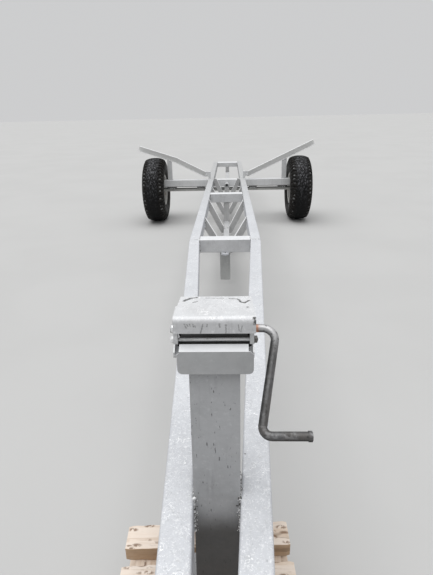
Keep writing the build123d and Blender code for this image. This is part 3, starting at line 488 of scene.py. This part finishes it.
cover_strokes += [
    ((x0, cover_low.y, cover_high.z - z0), (x1, cover_low.y, cover_high.z - z1), width, depth)
    for x0, z0, x1, z1, width, depth in lip_runs
]
# the mark on the rolled end of the lip
lip_end = (0.0852, cover_low.y + 0.005, cover_high.z - 0.003)
cover_strokes.append((lip_end, (0.0864, cover_low.y, cover_high.z - 0.013), 0.0062, 1.0))

rail_steel = galvanised(
    "rail_steel", (0.53, 0.545, 0.575), (0.44, 0.455, 0.485), spots=1.2, streaks=0.45, grime=0.2, top_light=0.26,
    marks=(aged, 0.55),
)
cross_steel = galvanised(
    "cross_steel", (0.56, 0.565, 0.575), (0.47, 0.475, 0.485), spots=0.7, streaks=0.35, grime=0.2, top_light=0.8,
)
far_steel = galvanised(
    "far_steel", (0.60, 0.605, 0.61), (0.50, 0.505, 0.51), spots=0.5, streaks=0.4, top_light=0.5,
)
truss_steel = galvanised(
    "truss_steel", (0.45, 0.45, 0.45), (0.38, 0.38, 0.38), spots=0.4, streaks=0.4, grime=0.35, top_light=0.95,
)
chord_steel = galvanised(
    "chord_steel", (0.42, 0.42, 0.425), (0.34, 0.34, 0.345), spots=0.4, streaks=0.4, top_light=0.32,
)
# the struts get the strongest painted light, on all that faces even a little upward
strut_steel = galvanised(
    "strut_steel", (0.44, 0.44, 0.44), (0.36, 0.36, 0.36), spots=0.4, streaks=0.4, grime=0.15, top_light=1.0,
    top_light_tone=STRONG_TOP_LIGHT_TONE, lit=(0.15, 0.42),
)
# a bunk arm gets painted shade behind its front edge, but not on its top
arm_steel = galvanised(
    "arm_steel", (0.84, 0.84, 0.83), (0.76, 0.76, 0.75), spots=0.4, streaks=0.15, grime=0.1, top_light=1.0,
    marks=(shaded_between, 6.664, 6.9, 2.0, (0.70, 0.70, 0.69), 0.0),
)
shade_steel = galvanised(
    "shade_steel", (0.37, 0.375, 0.37), (0.30, 0.305, 0.30), spots=0.3, streaks=0.35, grime=0.2,
)
post_steel = galvanised(
    "post_steel", (0.375, 0.38, 0.39), (0.31, 0.315, 0.32), spots=0.25, streaks=0.3, grime=0.10,
    marks=(dashes_and_shaded_foot, RAIL_TOP),
)
head_steel = galvanised("head_steel", (0.52, 0.525, 0.53), (0.43, 0.435, 0.44), grime=0.12)
cover_steel = galvanised(
    "cover_steel", (0.54, 0.545, 0.555), (0.47, 0.475, 0.485), streaks=0.3, grime=0.08, top_light=0.45,
    marks=(scratched, cover_strokes),
)
# painted shade makes the floor of the head black between the apron's flap and the drum
apron_steel = galvanised(
    "apron_steel", (0.385, 0.39, 0.395), (0.345, 0.35, 0.355), spots=0.2, streaks=0.12, grime=0.08, top_light=0.85,
    marks=(shaded_between, 1.1562, 1.234, 0.0755, (0.008, 0.007, 0.006), 1.0),
)
beam_steel = galvanised(
    "beam_steel", (0.62, 0.625, 0.63), (0.53, 0.535, 0.54), spots=0.5, streaks=0.4, grime=0.2, top_light=0.6,
    marks=(graded_shade, -0.046, -0.059, 0.9),
)
axle_steel = galvanised(
    "axle_steel", (0.42, 0.42, 0.405), (0.32, 0.32, 0.31), spots=0.3, streaks=0.3, grime=0.45,
    marks=(graded_shade, -0.098, -0.083, 0.85),
)
# the drum is painted near black as the shade inside the head
shaded_drum = galvanised(
    "shaded_drum", (0.012, 0.010, 0.008), (0.006, 0.005, 0.004), spots=0.0, streaks=0.2, grime=0.05, top_light=0.0,
)
weld_steel = weld_metal("weld_steel")
rim_paint = painted("rim_paint", (0.50, 0.50, 0.49), (0.30, 0.16, 0.09), 0.45, 0.45)
hub_paint = painted("hub_paint", (0.16, 0.16, 0.165), (0.22, 0.12, 0.07), 0.8, 0.5)
nut_steel = painted("nut_steel", (0.075, 0.075, 0.078), (0.11, 0.085, 0.07), 0.3, 0.32)
crank_steel = worn_bar(
    "crank_steel", (0.086, 0.086, 0.088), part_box("winch_side_right")[1].x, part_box("crank")[0].z + 0.008,
)
bright_zinc = zinc_plate("bright_zinc", 0.75)
rod_zinc = zinc_plate("rod_zinc", 0.15)
tyre_rubber = rubber("tyre_rubber_old")

# the longest key that a node's name starts with gives its look, and the rails' steel is for all others
node_looks = {
    "winch_post": post_steel, "winch_base": apron_steel, "winch_cover": cover_steel, "winch_side": head_steel,
    "winch_rod": bright_zinc, "winch_drum": shaded_drum, "crank": crank_steel,
    "axle": axle_steel, "rim": rim_paint, "hub": hub_paint, "tyre": tyre_rubber,
    "arm": arm_steel, "arm_post": far_steel, "arm_bracket": far_steel, "beam": beam_steel,
    "truss": truss_steel, "struts": strut_steel, "lower": chord_steel, "pin": far_steel,
    "crossmember": cross_steel, "crossmember_axle": far_steel, "crossmember_rear": far_steel,
    "truss_post_front": shade_steel,
}
for node_name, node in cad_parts.items():
    fits = [key for key in node_looks if node_name.startswith(key)]
    node.data.materials.clear()
    node.data.materials.append(node_looks[max(fits, key=len)] if fits else rail_steel)


# Mesh helpers

def piece(name, points, faces, material, body, slot, crease=None):
    """A mesh whose place is in its points, riding on a body. Edges over the crease angle stay sharp."""
    mesh = bpy.data.meshes.new(name)
    mesh.from_pydata([tuple(p) for p in points], [], faces)
    mesh.update()
    mesh.materials.append(material)
    mesh.shade_smooth()
    if crease:
        mesh.set_sharp_from_angle(angle=math.radians(crease))
    made = bpy.data.objects.new(name, mesh)
    bpy.context.scene.collection.objects.link(made)
    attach(made, body)
    return made


def join(parts):
    """Several (points, faces) as one."""
    points, faces = [], []
    for more_points, more_faces in parts:
        start = len(points)
        points += more_points
        faces += [tuple(i + start for i in face) for face in more_faces]
    return points, faces


def frame_of(direction):
    """Two unit vectors square to a direction."""
    along = Vector(direction).normalized()
    other = Vector((0, 0, 1)) if abs(along.z) < 0.9 else Vector((0, 1, 0))
    first = along.cross(other).normalized()
    return first, along.cross(first)


def around(first, second, angle):
    """The first of two square unit vectors, turned towards the second."""
    return first * math.cos(angle) + second * math.sin(angle)


def skin(rings, sides):
    """Faces over rings of points, with both ends closed."""
    faces = []
    for ring in range(rings - 1):
        for k in range(sides):
            a, b = ring * sides + k, ring * sides + (k + 1) % sides
            faces.append((a, b, b + sides, a + sides))
    faces.append(tuple(range(sides))[::-1])
    faces.append(tuple(range((rings - 1) * sides, rings * sides)))
    return faces


def lathe(centre, axis, profile, segments=32):
    """A turned solid: profile points are (distance along the axis, radius)."""
    along = Vector(axis).normalized()
    first, second = frame_of(along)
    spokes = [around(first, second, 2 * math.pi * k / segments) for k in range(segments)]
    points = []
    for distance, radius in profile:
        points += [Vector(centre) + along * distance + spoke * radius for spoke in spokes]
    return points, skin(len(profile), segments)


def hexagon(centre, axis, radius, height, turn):
    """A nut with its corners turned off."""
    along = Vector(axis).normalized()
    first, second = frame_of(along)
    rows = ((0.0, 0.97), (0.1, 1.0), (0.82, 1.0), (1.0, 0.88))
    points = []
    for level, scale in rows:
        for k in range(6):
            corner = around(first, second, turn + math.pi * k / 3) * radius * scale
            points.append(Vector(centre) + along * height * level + corner)
    return points, skin(len(rows), 6)


def washer(centre, axis, bore, radius, thickness):
    """A flat ring with its outer edges broken."""
    return lathe(centre, axis, [
        (0.0, bore), (0.0, radius * 0.97), (thickness * 0.3, radius), (thickness * 0.8, radius),
        (thickness, radius * 0.95), (thickness, bore),
    ])


# radius of a common weld and length of one ripple on it
FILLET = 0.0045
RIPPLE = 0.0045


def bead(start, end, radius, step=RIPPLE):
    """A weld run: a rippled, slightly wandering bead between two points."""
    start, end = Vector(start), Vector(end)
    length = (end - start).length
    first, second = frame_of(end - start)
    steps = max(4, int(length / step))
    sides = 7
    phase = random.uniform(0, 6)
    points = []
    for i in range(steps + 1):
        t = i / steps
        shake = noise.noise(Vector((t * length * 60, phase, 1.3)))
        swell = radius * (1.0 + 0.16 * math.sin(i * 2.1 + phase) + 0.18 * shake)
        swell *= 0.55 + 0.45 * min(1.0, 6 * min(t, 1 - t) + 0.15)
        middle = start.lerp(end, t) + first * radius * 0.2 * shake
        points += [middle + around(first, second, 2 * math.pi * k / sides) * swell for k in range(sides)]
    return points, skin(steps + 1, sides)


def bead_loop(corners, radius, step=RIPPLE):
    """Beads around a closed row of corners."""
    return [bead(a, b, radius, step) for a, b in zip(corners, corners[1:] + corners[:1])]


def blob(centre, radius):
    """A drop of weld spatter: a ball with an uneven skin."""
    arc = [(-math.cos(math.pi * k / 7) * radius, math.sin(math.pi * k / 7) * radius + 1e-5) for k in range(8)]
    points, faces = lathe((0, 0, 0), (0, 0, 1), arc, 10)
    seed = Vector((random.uniform(0, 50), 0, 0))
    return [Vector(centre) + p * (1 + 0.35 * noise.noise(p / radius + seed)) for p in points], faces


def square_x(x, y0, y1, z0, z1):
    return [(x, y0, z0), (x, y1, z0), (x, y1, z1), (x, y0, z1)]


def square_z(z, x0, x1, y0, y1):
    return [(x0, y0, z), (x1, y0, z), (x1, y1, z), (x0, y1, z)]


# Weld beads of the truss, the arms and the axle

# half depth of the lower chord, the lowest place of its middle line and the line's slopes before and behind
CHORD_HALF = 0.030
CHORD_LOW_Y = 5.420
CHORD_LOW_Z = -0.308
CHORD_SLOPES = (0.03777, 0.04553)
far_welds = []


def chord_middle(y):
    """Z of the lower chord's middle line."""
    front, rear = CHORD_SLOPES
    return CHORD_LOW_Z + max((CHORD_LOW_Y - y) * front, (y - CHORD_LOW_Y) * rear)


def lean_square(low, high):
    """The foot of a post on the chord, as four corners."""
    front, back = (chord_middle(y) + CHORD_HALF for y in (low.y, high.y))
    return [(low.x, low.y, front), (high.x, low.y, front), (high.x, high.y, back), (low.x, high.y, back)]


for label in ("front", "middle", "axle", "rear"):
    low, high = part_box("crossmember_" + label)
    rear_y = min(high.y, cad_high.y - 0.006)
    for sign in SIDES.values():
        end = square_x(sign * (RAIL_INNER - 0.0005), low.y, rear_y, low.z, high.z - 0.0025)
        far_welds += bead_loop(end, FILLET, 0.004)
    low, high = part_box("truss_post_" + label)
    far_welds += bead_loop(square_z(high.z, low.x, high.x, low.y, high.y), FILLET)
    if label != "front":
        far_welds += bead_loop(lean_square(low, high), FILLET)
chord_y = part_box("lower_chord")[0].y
chord_z = chord_middle(chord_y)
chord_corners = ((-1, -1), (1, -1), (1, 1), (-1, 1))
far_welds += bead_loop([(x * CHORD_HALF, chord_y, chord_z + z * CHORD_HALF) for x, z in chord_corners], FILLET)
# a wide seam across the chord before the second pair of struts
seam_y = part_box("struts_b")[0].y
for y in (seam_y - 0.012, seam_y - 0.026, seam_y - 0.040):
    top = chord_middle(y) + CHORD_HALF - 0.0005
    far_welds.append(bead((-0.033, y, top), (0.033, y, top), 0.007))

# height of each strut's end at the rail, and its foot's height over the chord's middle and half width
strut_ends = {
    "a": (0.1087, 0.038, 0.030),
    "b": (0.1187, 0.038, 0.030),
    "c": (0.1153, 0.038, 0.030),
    "d": (0.0315, 0.069, 0.0325),
}
for label, (tall, over, foot_x) in strut_ends.items():
    low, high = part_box("struts_" + label)
    chord_z = chord_middle((low.y + high.y) / 2)
    for sign in SIDES.values():
        head = square_x(sign * (RAIL_INNER - 0.001), low.y, high.y, high.z - tall, high.z)
        foot = square_x(sign * (foot_x + 0.0005), low.y, high.y, chord_z - CHORD_HALF, chord_z + over)
        far_welds += bead_loop(head, 0.004) + bead_loop(foot, 0.004)
        # the pair at the axle is cut level at its head
        if label == "d":
            far_welds.append(bead((sign * 0.142, high.y, high.z), (sign * 0.186, high.y, high.z), 0.006))

ARM_RISE = {"left": math.tan(math.radians(17.857)), "right": math.tan(math.radians(24.641))}
# how far the ends of the axle's inner and outer seat plates lie from the middle
SEAT_ENDS = ((0.316, 0.426), (0.728, 0.838))
# height of the weld under a bracket's outer half
BRACKET_STEP_Z = 0.084
for side, sign in SIDES.items():
    low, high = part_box("beam_" + side)
    far_welds += bead_loop(square_x(sign * (RAIL_OUTER + 0.0005), low.y, high.y, low.z, high.z), 0.005)
    beam_top = high.z
    low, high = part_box("arm_post_" + side)
    far_welds += bead_loop(square_z(beam_top, low.x, high.x, low.y, high.y), FILLET)
    fall = (high.x - low.x) * ARM_RISE[side]
    left_z, right_z = (high.z, high.z - fall) if sign < 0 else (high.z - fall, high.z)
    for y in (low.y, high.y):
        far_welds.append(bead((low.x, y, left_z), (high.x, y, right_z), 0.004))
    low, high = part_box("arm_bracket_" + side)
    for y in (low.y + 0.008, low.y + 0.016):
        far_welds.append(bead((sign * 0.229, y, RAIL_TOP), (sign * 0.259, y, RAIL_TOP), 0.004, 0.004))
    inner, outer = ((sign * x, low.y + 0.007, BRACKET_STEP_Z) for x in (0.262, 0.302))
    far_welds.append(bead(inner, outer, 0.003, 0.004))
    low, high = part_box("axle_seats")
    for x0, x1 in SEAT_ENDS:
        for y in (low.y, high.y):
            for z in (low.z, high.z):
                far_welds.append(bead((sign * x0, y, z), (sign * x1, y, z), 0.0035))
low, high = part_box("lug_front")
for z in (high.z, low.z):
    far_welds.append(bead((low.x, high.y, z), (high.x, high.y, z), 0.0035, 0.004))
low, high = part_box("pin_socket")
z = low.z + 0.002
for x in (-0.012, 0.012):
    far_welds.append(bead((x, low.y + 0.003, z), (x, high.y, z), FILLET, 0.004))
# the mitre at the kink, a little inside the rail's faces
MITRE_OUTER_Y, MITRE_INNER_Y = 3.4089, 3.4111
for sign in SIDES.values():
    for z in (RAIL_TOP - 0.0008, RAIL_BOTTOM + 0.0008):
        outer = (sign * (RAIL_OUTER - 0.0005), MITRE_OUTER_Y, z)
        inner = (sign * (RAIL_INNER + 0.0005), MITRE_INNER_Y, z)
        far_welds.append(bead(outer, inner, 0.0024, 0.003))


# Weld beads and spatter of the winch post and the nose

POST_LEAN = math.radians(5.5)
POST_DEPTH = 0.080
post_low, post_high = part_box("winch_post")
post_reach = POST_DEPTH / math.cos(POST_LEAN)
near_welds = []


def post_front(z):
    """Y of the winch post's front face at a height."""
    return post_low.y + (z - post_low.z) * math.tan(POST_LEAN)


for sign in SIDES.values():
    x = sign * (post_high.x + 0.0002)
    for y in (-0.001, post_reach):
        bottom, top = (x, post_front(RAIL_BOTTOM) + y, RAIL_BOTTOM), (x, post_front(RAIL_TOP) + y, RAIL_TOP)
        near_welds.append(bead(bottom, top, 0.004, 0.0028))
    y, z = post_front(RAIL_TOP), RAIL_TOP - 0.001
    near_welds.append(bead((x, y + 0.004, z), (x, y + post_reach - 0.004, z), 0.0042, 0.0028))
y = post_front(post_low.z)
foot = square_z(post_low.z, post_low.x, post_high.x, y, y + post_reach)
near_welds += bead_loop(foot, FILLET, 0.003)
# spatter on the post's front edges, four drops in a row under the rail's top, finer drops further in
for sign in SIDES.values():
    for k in range(34):
        z = random.uniform(RAIL_BOTTOM, RAIL_TOP) if k > 3 else RAIL_TOP - 0.0015 * k
        x = sign * random.uniform(0.0525, 0.0575)
        near_welds.append(blob((x, post_front(z) - 0.0005, z), random.uniform(0.0014, 0.0036)))
    near_welds.append(blob((sign * 0.0548, post_front(RAIL_TOP) - 0.001, RAIL_TOP - 0.002), 0.0052))
    near_welds.append(blob((sign * 0.0535, post_front(RAIL_TOP) - 0.001, RAIL_TOP - 0.010), 0.0036))
    for k in range(18):
        z = random.uniform(RAIL_BOTTOM, RAIL_TOP)
        x = sign * random.uniform(0.0465, 0.054)
        near_welds.append(blob((x, post_front(z), z), random.uniform(0.0008, 0.0019)))
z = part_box("winch_base")[0].z
y = post_front(z) - 0.001
near_welds.append(bead((-0.054, y, z), (0.054, y, z), 0.0028, 0.0025))

plate_low, plate_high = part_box("nose_end_plate")
for z in (RAIL_TOP, RAIL_BOTTOM):
    ends = [(x, plate_high.y, z) for x in (plate_low.x + 0.006, plate_high.x - 0.006)]
    near_welds.append(bead(*ends, 0.004, 0.003))
eye_low, eye_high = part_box("towing_eye")
eye_corners = ((-0.035, eye_low.z), (0.035, eye_low.z), (0.035, eye_high.z), (-0.035, eye_high.z))
near_welds += bead_loop([(x, plate_low.y, z) for x, z in eye_corners], 0.0055, 0.003)
low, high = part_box("nose_gussets")
for z in (RAIL_TOP, RAIL_BOTTOM):
    near_welds.append(bead((low.x + 0.004, high.y, z), (high.x - 0.004, high.y, z), 0.004, 0.003))
    for sign in SIDES.values():
        near_welds.append(bead((sign * 0.0645, low.y + 0.002, z), (sign * 0.0775, high.y, z), 0.004, 0.003))

piece("weld_beads_near", *join(near_welds), weld_steel, "frame", "galvanised")
piece("weld_beads_far", *join(far_welds), weld_steel, "frame", "galvanised")


# Fasteners of the winch head and of the arm brackets

# radius that closes a turned end, and the angle over which an edge stays sharp
TIP = 0.0003
SHARP = 40
rod_y, rod_z = middle_of("winch_rod").yz
shaft_y, shaft_z = middle_of("winch_drum").yz
head_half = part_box("winch_side_right")[1].x
rod_left, rod_right = (-head_half, rod_y, rod_z), (head_half, rod_y, rod_z)
dome = [
    (0.0, 0.0082), (0.0030, 0.0086), (0.0058, 0.0078), (0.0080, 0.0058), (0.0094, 0.0028), (0.0097, 0.0004),
]
thread = []
for i in range(11):
    thread += [(0.0008 * i, 0.0040), (0.0008 * i + 0.0004, 0.0035)]
rod_parts = [
    lathe(rod_left, (1, 0, 0), [(0.0, TIP), (0.0, 0.004), (2 * head_half, 0.004), (2 * head_half, TIP)]),
    lathe(rod_left, (-1, 0, 0), dome),
]
nut_parts = [
    washer(rod_right, (1, 0, 0), 0.0042, 0.0096, 0.0012),
    hexagon((head_half + 0.0012, rod_y, rod_z), (1, 0, 0), 0.0086, 0.0062, 0.4),
    lathe(rod_right, (1, 0, 0), [(0.0, TIP)] + thread + [(0.0092, TIP)]),
]
rod = piece("winch_cross_rod", *join(rod_parts), rod_zinc, "frame", "bright_steel", SHARP)
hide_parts("winch_rod")
piece("winch_rod_nut", *join(nut_parts), nut_steel, "frame", "bright_steel", SHARP)

cap = [(0.0, 0.0092), (0.0, 0.0106), (0.0040, 0.0107), (0.0070, 0.0098), (0.0092, 0.0072), (0.0104, 0.0036)]
shaft_parts = [
    washer((-head_half, shaft_y, shaft_z), (-1, 0, 0), 0.0092, 0.0125, 0.0018),
    lathe((-head_half - 0.0014, shaft_y, shaft_z), (-1, 0, 0), cap + [(0.0107, 0.0005)]),
]
piece("shaft_end_cap", *join(shaft_parts), bright_zinc, "crank", "bright_steel", SHARP)

bracket_parts = []
for side, sign in SIDES.items():
    bolt = (sign * 0.290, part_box("arm_bracket_" + side)[0].y + 0.008, 0.100)
    bracket_parts.append(washer(bolt, (0, -1, 0), 0.006, 0.0165, 0.0025))
piece("bracket_washers", *join(bracket_parts), bright_zinc, "frame", "galvanised", SHARP)


# Tyres: worn crown with a faint angled pattern, deep lugs on the shoulders, ribbed walls

TYRE_HALF = 0.1505
ROUND = 12 * LUGS
LUG_DEPTH = 0.0125
FINE_DEPTH = 0.0021
GROOVE_DEPTH = 0.0034
RIB_HEIGHT = 0.0016


def smooth_step(low, high, value):
    t = max(0.0, min(1.0, (value - low) / (high - low)))
    return t * t * (3 - 2 * t)


def tyre_profile():
    """Cross-section from one bead over the crown to the other: (x, radius)."""
    half = [(0.1105, 0.1945), (0.1170, 0.1955), (0.1180, 0.2165), (0.1215, 0.2225)]
    shoulder = (0.1232, 0.419)
    start, bulge, end = Vector(half[-1]), Vector((TYRE_HALF, 0.3195)), Vector(shoulder)
    # the wall is a quadratic curve that passes through its widest point halfway
    control = 2 * bulge - 0.5 * (start + end)
    for i in range(1, 15):
        t = i / 15
        spot = (1 - t) ** 2 * start + 2 * t * (1 - t) * control + t * t * end
        half.append((min(spot.x, TYRE_HALF), spot.y))
    half.append(shoulder)
    crown_drop = TYRE_RADIUS - shoulder[1]
    for i in range(1, 14):
        x = shoulder[0] * (1 - i / 14)
        half.append((x, TYRE_RADIUS - crown_drop * (x / shoulder[0]) ** 2.4))
    return half + [(0.0, TYRE_RADIUS)] + [(-x, r) for x, r in half[::-1]]


def tread_depth(x, radius, turn):
    """How far the surface lies under the plain profile."""
    across = abs(x)
    phase = turn * LUGS / (2 * math.pi) + (0.0 if x > 0 else SIDE_SHIFT) + across * LUG_SLANT
    slot = smooth_step(0.50, 0.66, abs((phase % 1.0) - 0.5) * 2)
    outer = smooth_step(0.070, 0.090, across) * smooth_step(0.352, 0.385, radius)
    depth = LUG_DEPTH * slot * outer
    fine = abs(((phase * 2 + across * 22) % 1.0) - 0.5) * 2
    depth += FINE_DEPTH * smooth_step(0.66, 0.86, fine) * (1 - smooth_step(0.060, 0.075, across))
    for groove in (0.0, 0.034, 0.067):
        off_groove = abs(across - groove - 0.0035 * math.sin(turn * LUGS))
        depth += GROOVE_DEPTH * smooth_step(0.0045, 0.002, off_groove)
    if radius < 0.36:
        for rib in (0.236, 0.262, 0.338):
            off_rib = abs(radius - rib)
            depth -= RIB_HEIGHT * smooth_step(0.006, 0.002, off_rib) * smooth_step(0.150, 0.144, across)
    return depth


def tread(sign):
    """Points and faces of one tyre."""
    profile = tyre_profile()
    points, faces = [], []
    for k in range(ROUND):
        turn = 2 * math.pi * k / ROUND
        for x, radius in profile:
            wobble = 0.0006 * noise.noise(Vector((x * 40, math.cos(turn) * 9, math.sin(turn) * 9 + sign)))
            depth = tread_depth(x, radius, turn)
            shrunk = radius - depth * (1.0 if radius > 0.40 else 0.35) + wobble - 0.0006
            inward = x - math.copysign(depth * (0.0 if radius > 0.43 else 0.7), x)
            points.append((
                sign * TRACK + inward, WHEEL_Y + shrunk * math.cos(turn), WHEEL_Z + shrunk * math.sin(turn)
            ))
    count = len(profile)
    for k in range(ROUND):
        for i in range(count - 1):
            a, b = k * count + i, ((k + 1) % ROUND) * count + i
            faces.append((a, b, b + 1, a + 1))
    return points, faces


def on_wheel(sign, outward, radius, angle):
    """A point of a wheel, outward from its middle plane."""
    return sign * (TRACK + outward), WHEEL_Y + radius * math.cos(angle), WHEEL_Z + radius * math.sin(angle)


STEM = [
    (0.0, 0.0062), (0.012, 0.0058), (0.014, 0.004), (0.034, 0.004),
    (0.0345, 0.0052), (0.043, 0.0052), (0.0445, 0.003),
]
STUD = [(0.0, 0.0085), (0.0065, 0.0085), (0.0080, 0.007), (0.0081, 0.0004)]
STUDS = 6
DISC_BEADS = 12
for side, sign in SIDES.items():
    body = "wheel_" + side
    tyre = piece("tyre_" + side + "_tread", *tread(sign), tyre_rubber, body, "tyre_rubber", 50)
    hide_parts("tyre_" + side)

    valve_foot = (sign * (TRACK + 0.052), WHEEL_Y + 0.118, WHEEL_Z + 0.112)
    stem = lathe(valve_foot, (sign, -0.25, -0.25), STEM, 20)
    piece("valve_" + side, *stem, tyre_rubber, body, "tyre_rubber", SHARP)

    corners = [on_wheel(sign, 0.0085, 0.1545, 2 * math.pi * k / DISC_BEADS) for k in range(DISC_BEADS)]
    piece("disc_weld_" + side, *join(bead_loop(corners, 0.004, 0.005)), rim_paint, body, "wheel_steel")

    stud_parts = []
    for k in range(STUDS):
        angle = 2 * math.pi * k / STUDS
        stud_parts.append(lathe(on_wheel(sign, 0.024, 0.080, angle), (sign, 0, 0), STUD, 20))
        stud_parts.append(washer(on_wheel(sign, 0.008, 0.080, angle), (sign, 0, 0), 0.009, 0.0172, 0.0026))
    piece("stud_ends_" + side, *join(stud_parts), bright_zinc, body, "wheel_steel", SHARP)


# Timber: boards with soft worn edges, saw marks and checks at their ends

STACK_MIDDLE = (-0.034, 1.1994)
STACK_TURN = math.radians(2.4)


def board(name, centre, size, turned, material, seed):
    """A board along X, turned with the stack. Its skin stays inside the solid that it stands for."""
    length, width, thick = size
    edge = 0.0018
    corners = []
    for cy, cz, start in ((1, 1, 0), (-1, 1, 90), (-1, -1, 180), (1, -1, 270)):
        for k in range(4):
            angle = math.radians(start + 30 * k)
            y, z = cy * (width / 2 - edge), cz * (thick / 2 - edge)
            corners.append((y + edge * math.cos(angle), z + edge * math.sin(angle)))
    ring = []
    for (y0, z0), (y1, z1) in zip(corners, corners[1:] + corners[:1]):
        steps = max(1, int(math.hypot(y1 - y0, z1 - z0) / 0.010))
        ring += [(y0 + (y1 - y0) * s / steps, z0 + (z1 - z0) * s / steps) for s in range(steps)]
    count = len(ring)
    rows = max(24, int(length / 0.012))
    points, faces = [], []
    placing = Matrix.Translation(centre) @ Matrix.Rotation(STACK_TURN + (math.pi / 2 if turned else 0), 4, "Z")
    check_y = random.uniform(-0.3, 0.3) * width
    for i in range(rows + 1):
        t = i / rows
        x = (t - 0.5) * length
        end = min(t, 1 - t) * length
        round_off = 1 - 0.05 * (1 - smooth_step(0.0, 0.006, end))
        for y, z in ring:
            rough = 0.0009 * (noise.noise(Vector((x * 14, y * 60 + seed, z * 60))) - 0.5)
            rough += 0.0004 * math.sin(x * 900 + 3 * noise.noise(Vector((x * 8, seed, y * 20))))
            near_check = smooth_step(0.0035, 0.0, abs(y - check_y)) if z > 0 else 0.0
            split = near_check * (1 - smooth_step(0.02, 0.09, end))
            grow = round_off * (0.982 + rough / (thick / 2))
            points.append(placing @ Vector((x * 0.999, y * grow, z * grow - 0.004 * split)))
    for i in range(rows):
        for k in range(count):
            a, b = i * count + k, i * count + (k + 1) % count
            faces.append((a, a + count, b + count, b))
    # each end is a fan of triangles around its middle
    for base, order in ((0, 1), (rows * count, -1)):
        loop = range(base, base + count)
        points.append(sum((points[j] for j in loop), Vector()) / count)
        faces += [(loop[k], loop[(k + 1) % count], len(points) - 1)[::order] for k in range(count)]
    return piece(name, points, faces, material, "frame", "sawn_timber", 32)


def stack_place(along_x, along_y, height):
    """A place in the turned stack, with its height over the ground."""
    return (
        STACK_MIDDLE[0] + along_x * math.cos(STACK_TURN) - along_y * math.sin(STACK_TURN),
        STACK_MIDDLE[1] + along_x * math.sin(STACK_TURN) + along_y * math.cos(STACK_TURN),
        height + GROUND,
    )


# node, part of it, place in the stack, size, turned
board_table = (
    ("timber_base", "a", (-0.165, -0.1765, 0.049), (0.560, 0.098, 0.098), True),
    ("timber_base", "b", (0.165, -0.1765, 0.049), (0.560, 0.098, 0.098), True),
    ("timber_second", "a", (0.0, -0.2755, 0.147), (0.477, 0.098, 0.098), False),
    ("timber_second", "b", (0.0, 0.0545, 0.147), (0.477, 0.098, 0.098), False),
    ("timber_third", "a", (-0.165, -0.0965, 0.220), (0.400, 0.098, 0.048), True),
    ("timber_third", "b", (0.165, -0.0965, 0.220), (0.400, 0.098, 0.048), True),
    ("timber_top_front", "a", (0.0, -0.0635, 0.268), (0.477, 0.080, 0.048), False),
    ("timber_top_rear", "a", (0.0, 0.0635, 0.268), (0.477, 0.080, 0.048), False),
)
for index, (node_name, letter, place, size, turned) in enumerate(board_table):
    centre = stack_place(*place)
    pith_side = (centre[0] if turned else centre[1]) + random.uniform(-0.05, 0.05)
    pith_z = centre[2] - random.uniform(0.03, 0.10)
    pale = scaled((0.56, 0.41, 0.28), random.uniform(0.92, 1.06))
    wood = timber("wood_%d" % index, turned, (pith_side, pith_z), pale)
    made = board(node_name + "_" + letter + "_board", centre, size, turned, wood, index * 7.3)
    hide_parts(node_name)


# Floor, light and camera

floor = bpy.data.meshes.new("floor")
floor.from_pydata(square_z(GROUND, -120, 120, -120, 220), [], [(0, 1, 2, 3)])
floor_look = Look("floor_look", roughness=0.9)
floor_tone = floor_look.mix(floor_look.noise(0.8), (0.47, 0.47, 0.465), (0.455, 0.455, 0.45))
floor.materials.append(floor_look.finish(floor_tone))
floor_object = bpy.data.objects.new("floor", floor)
bpy.context.scene.collection.objects.link(floor_object)

world = bpy.data.worlds.new("studio")
world.use_nodes = True
world.node_tree.nodes["Background"].inputs["Color"].default_value = (0.985, 0.99, 1.0, 1.0)
world.node_tree.nodes["Background"].inputs["Strength"].default_value = 0.62
bpy.context.scene.world = world

sky_light = bpy.data.lights.new("overhead", "SUN")
sky_light.energy = 2.35
sky_light.angle = math.radians(70)
overhead = bpy.data.objects.new("overhead", sky_light)
overhead.rotation_euler = (math.radians(6), math.radians(-8), 0)
bpy.context.scene.collection.objects.link(overhead)

# the photo's camera: place, turn, tilt and roll as fitted to the rails, the horizon and the post
PHOTO_WIDTH = 433.0
FOCAL_LENGTH = 432.5
lens = bpy.data.cameras.new("photo_camera")
lens.sensor_fit = "HORIZONTAL"
lens.sensor_width = 36.0
lens.lens = lens.sensor_width * FOCAL_LENGTH / PHOTO_WIDTH
lens.clip_end = 500.0
camera = bpy.data.objects.new("photo_camera", lens)
camera.matrix_world = (
    Matrix.Translation((0.036, 0.348, 0.900))
    @ Matrix.Rotation(math.radians(1.97), 4, "Z")
    @ Matrix.Rotation(math.radians(90 - 21.82), 4, "X")
    @ Matrix.Rotation(math.radians(-1.23), 4, "Z")
)
bpy.context.scene.collection.objects.link(camera)
bpy.context.scene.camera = camera
bpy.context.scene.view_settings.view_transform = "Standard"
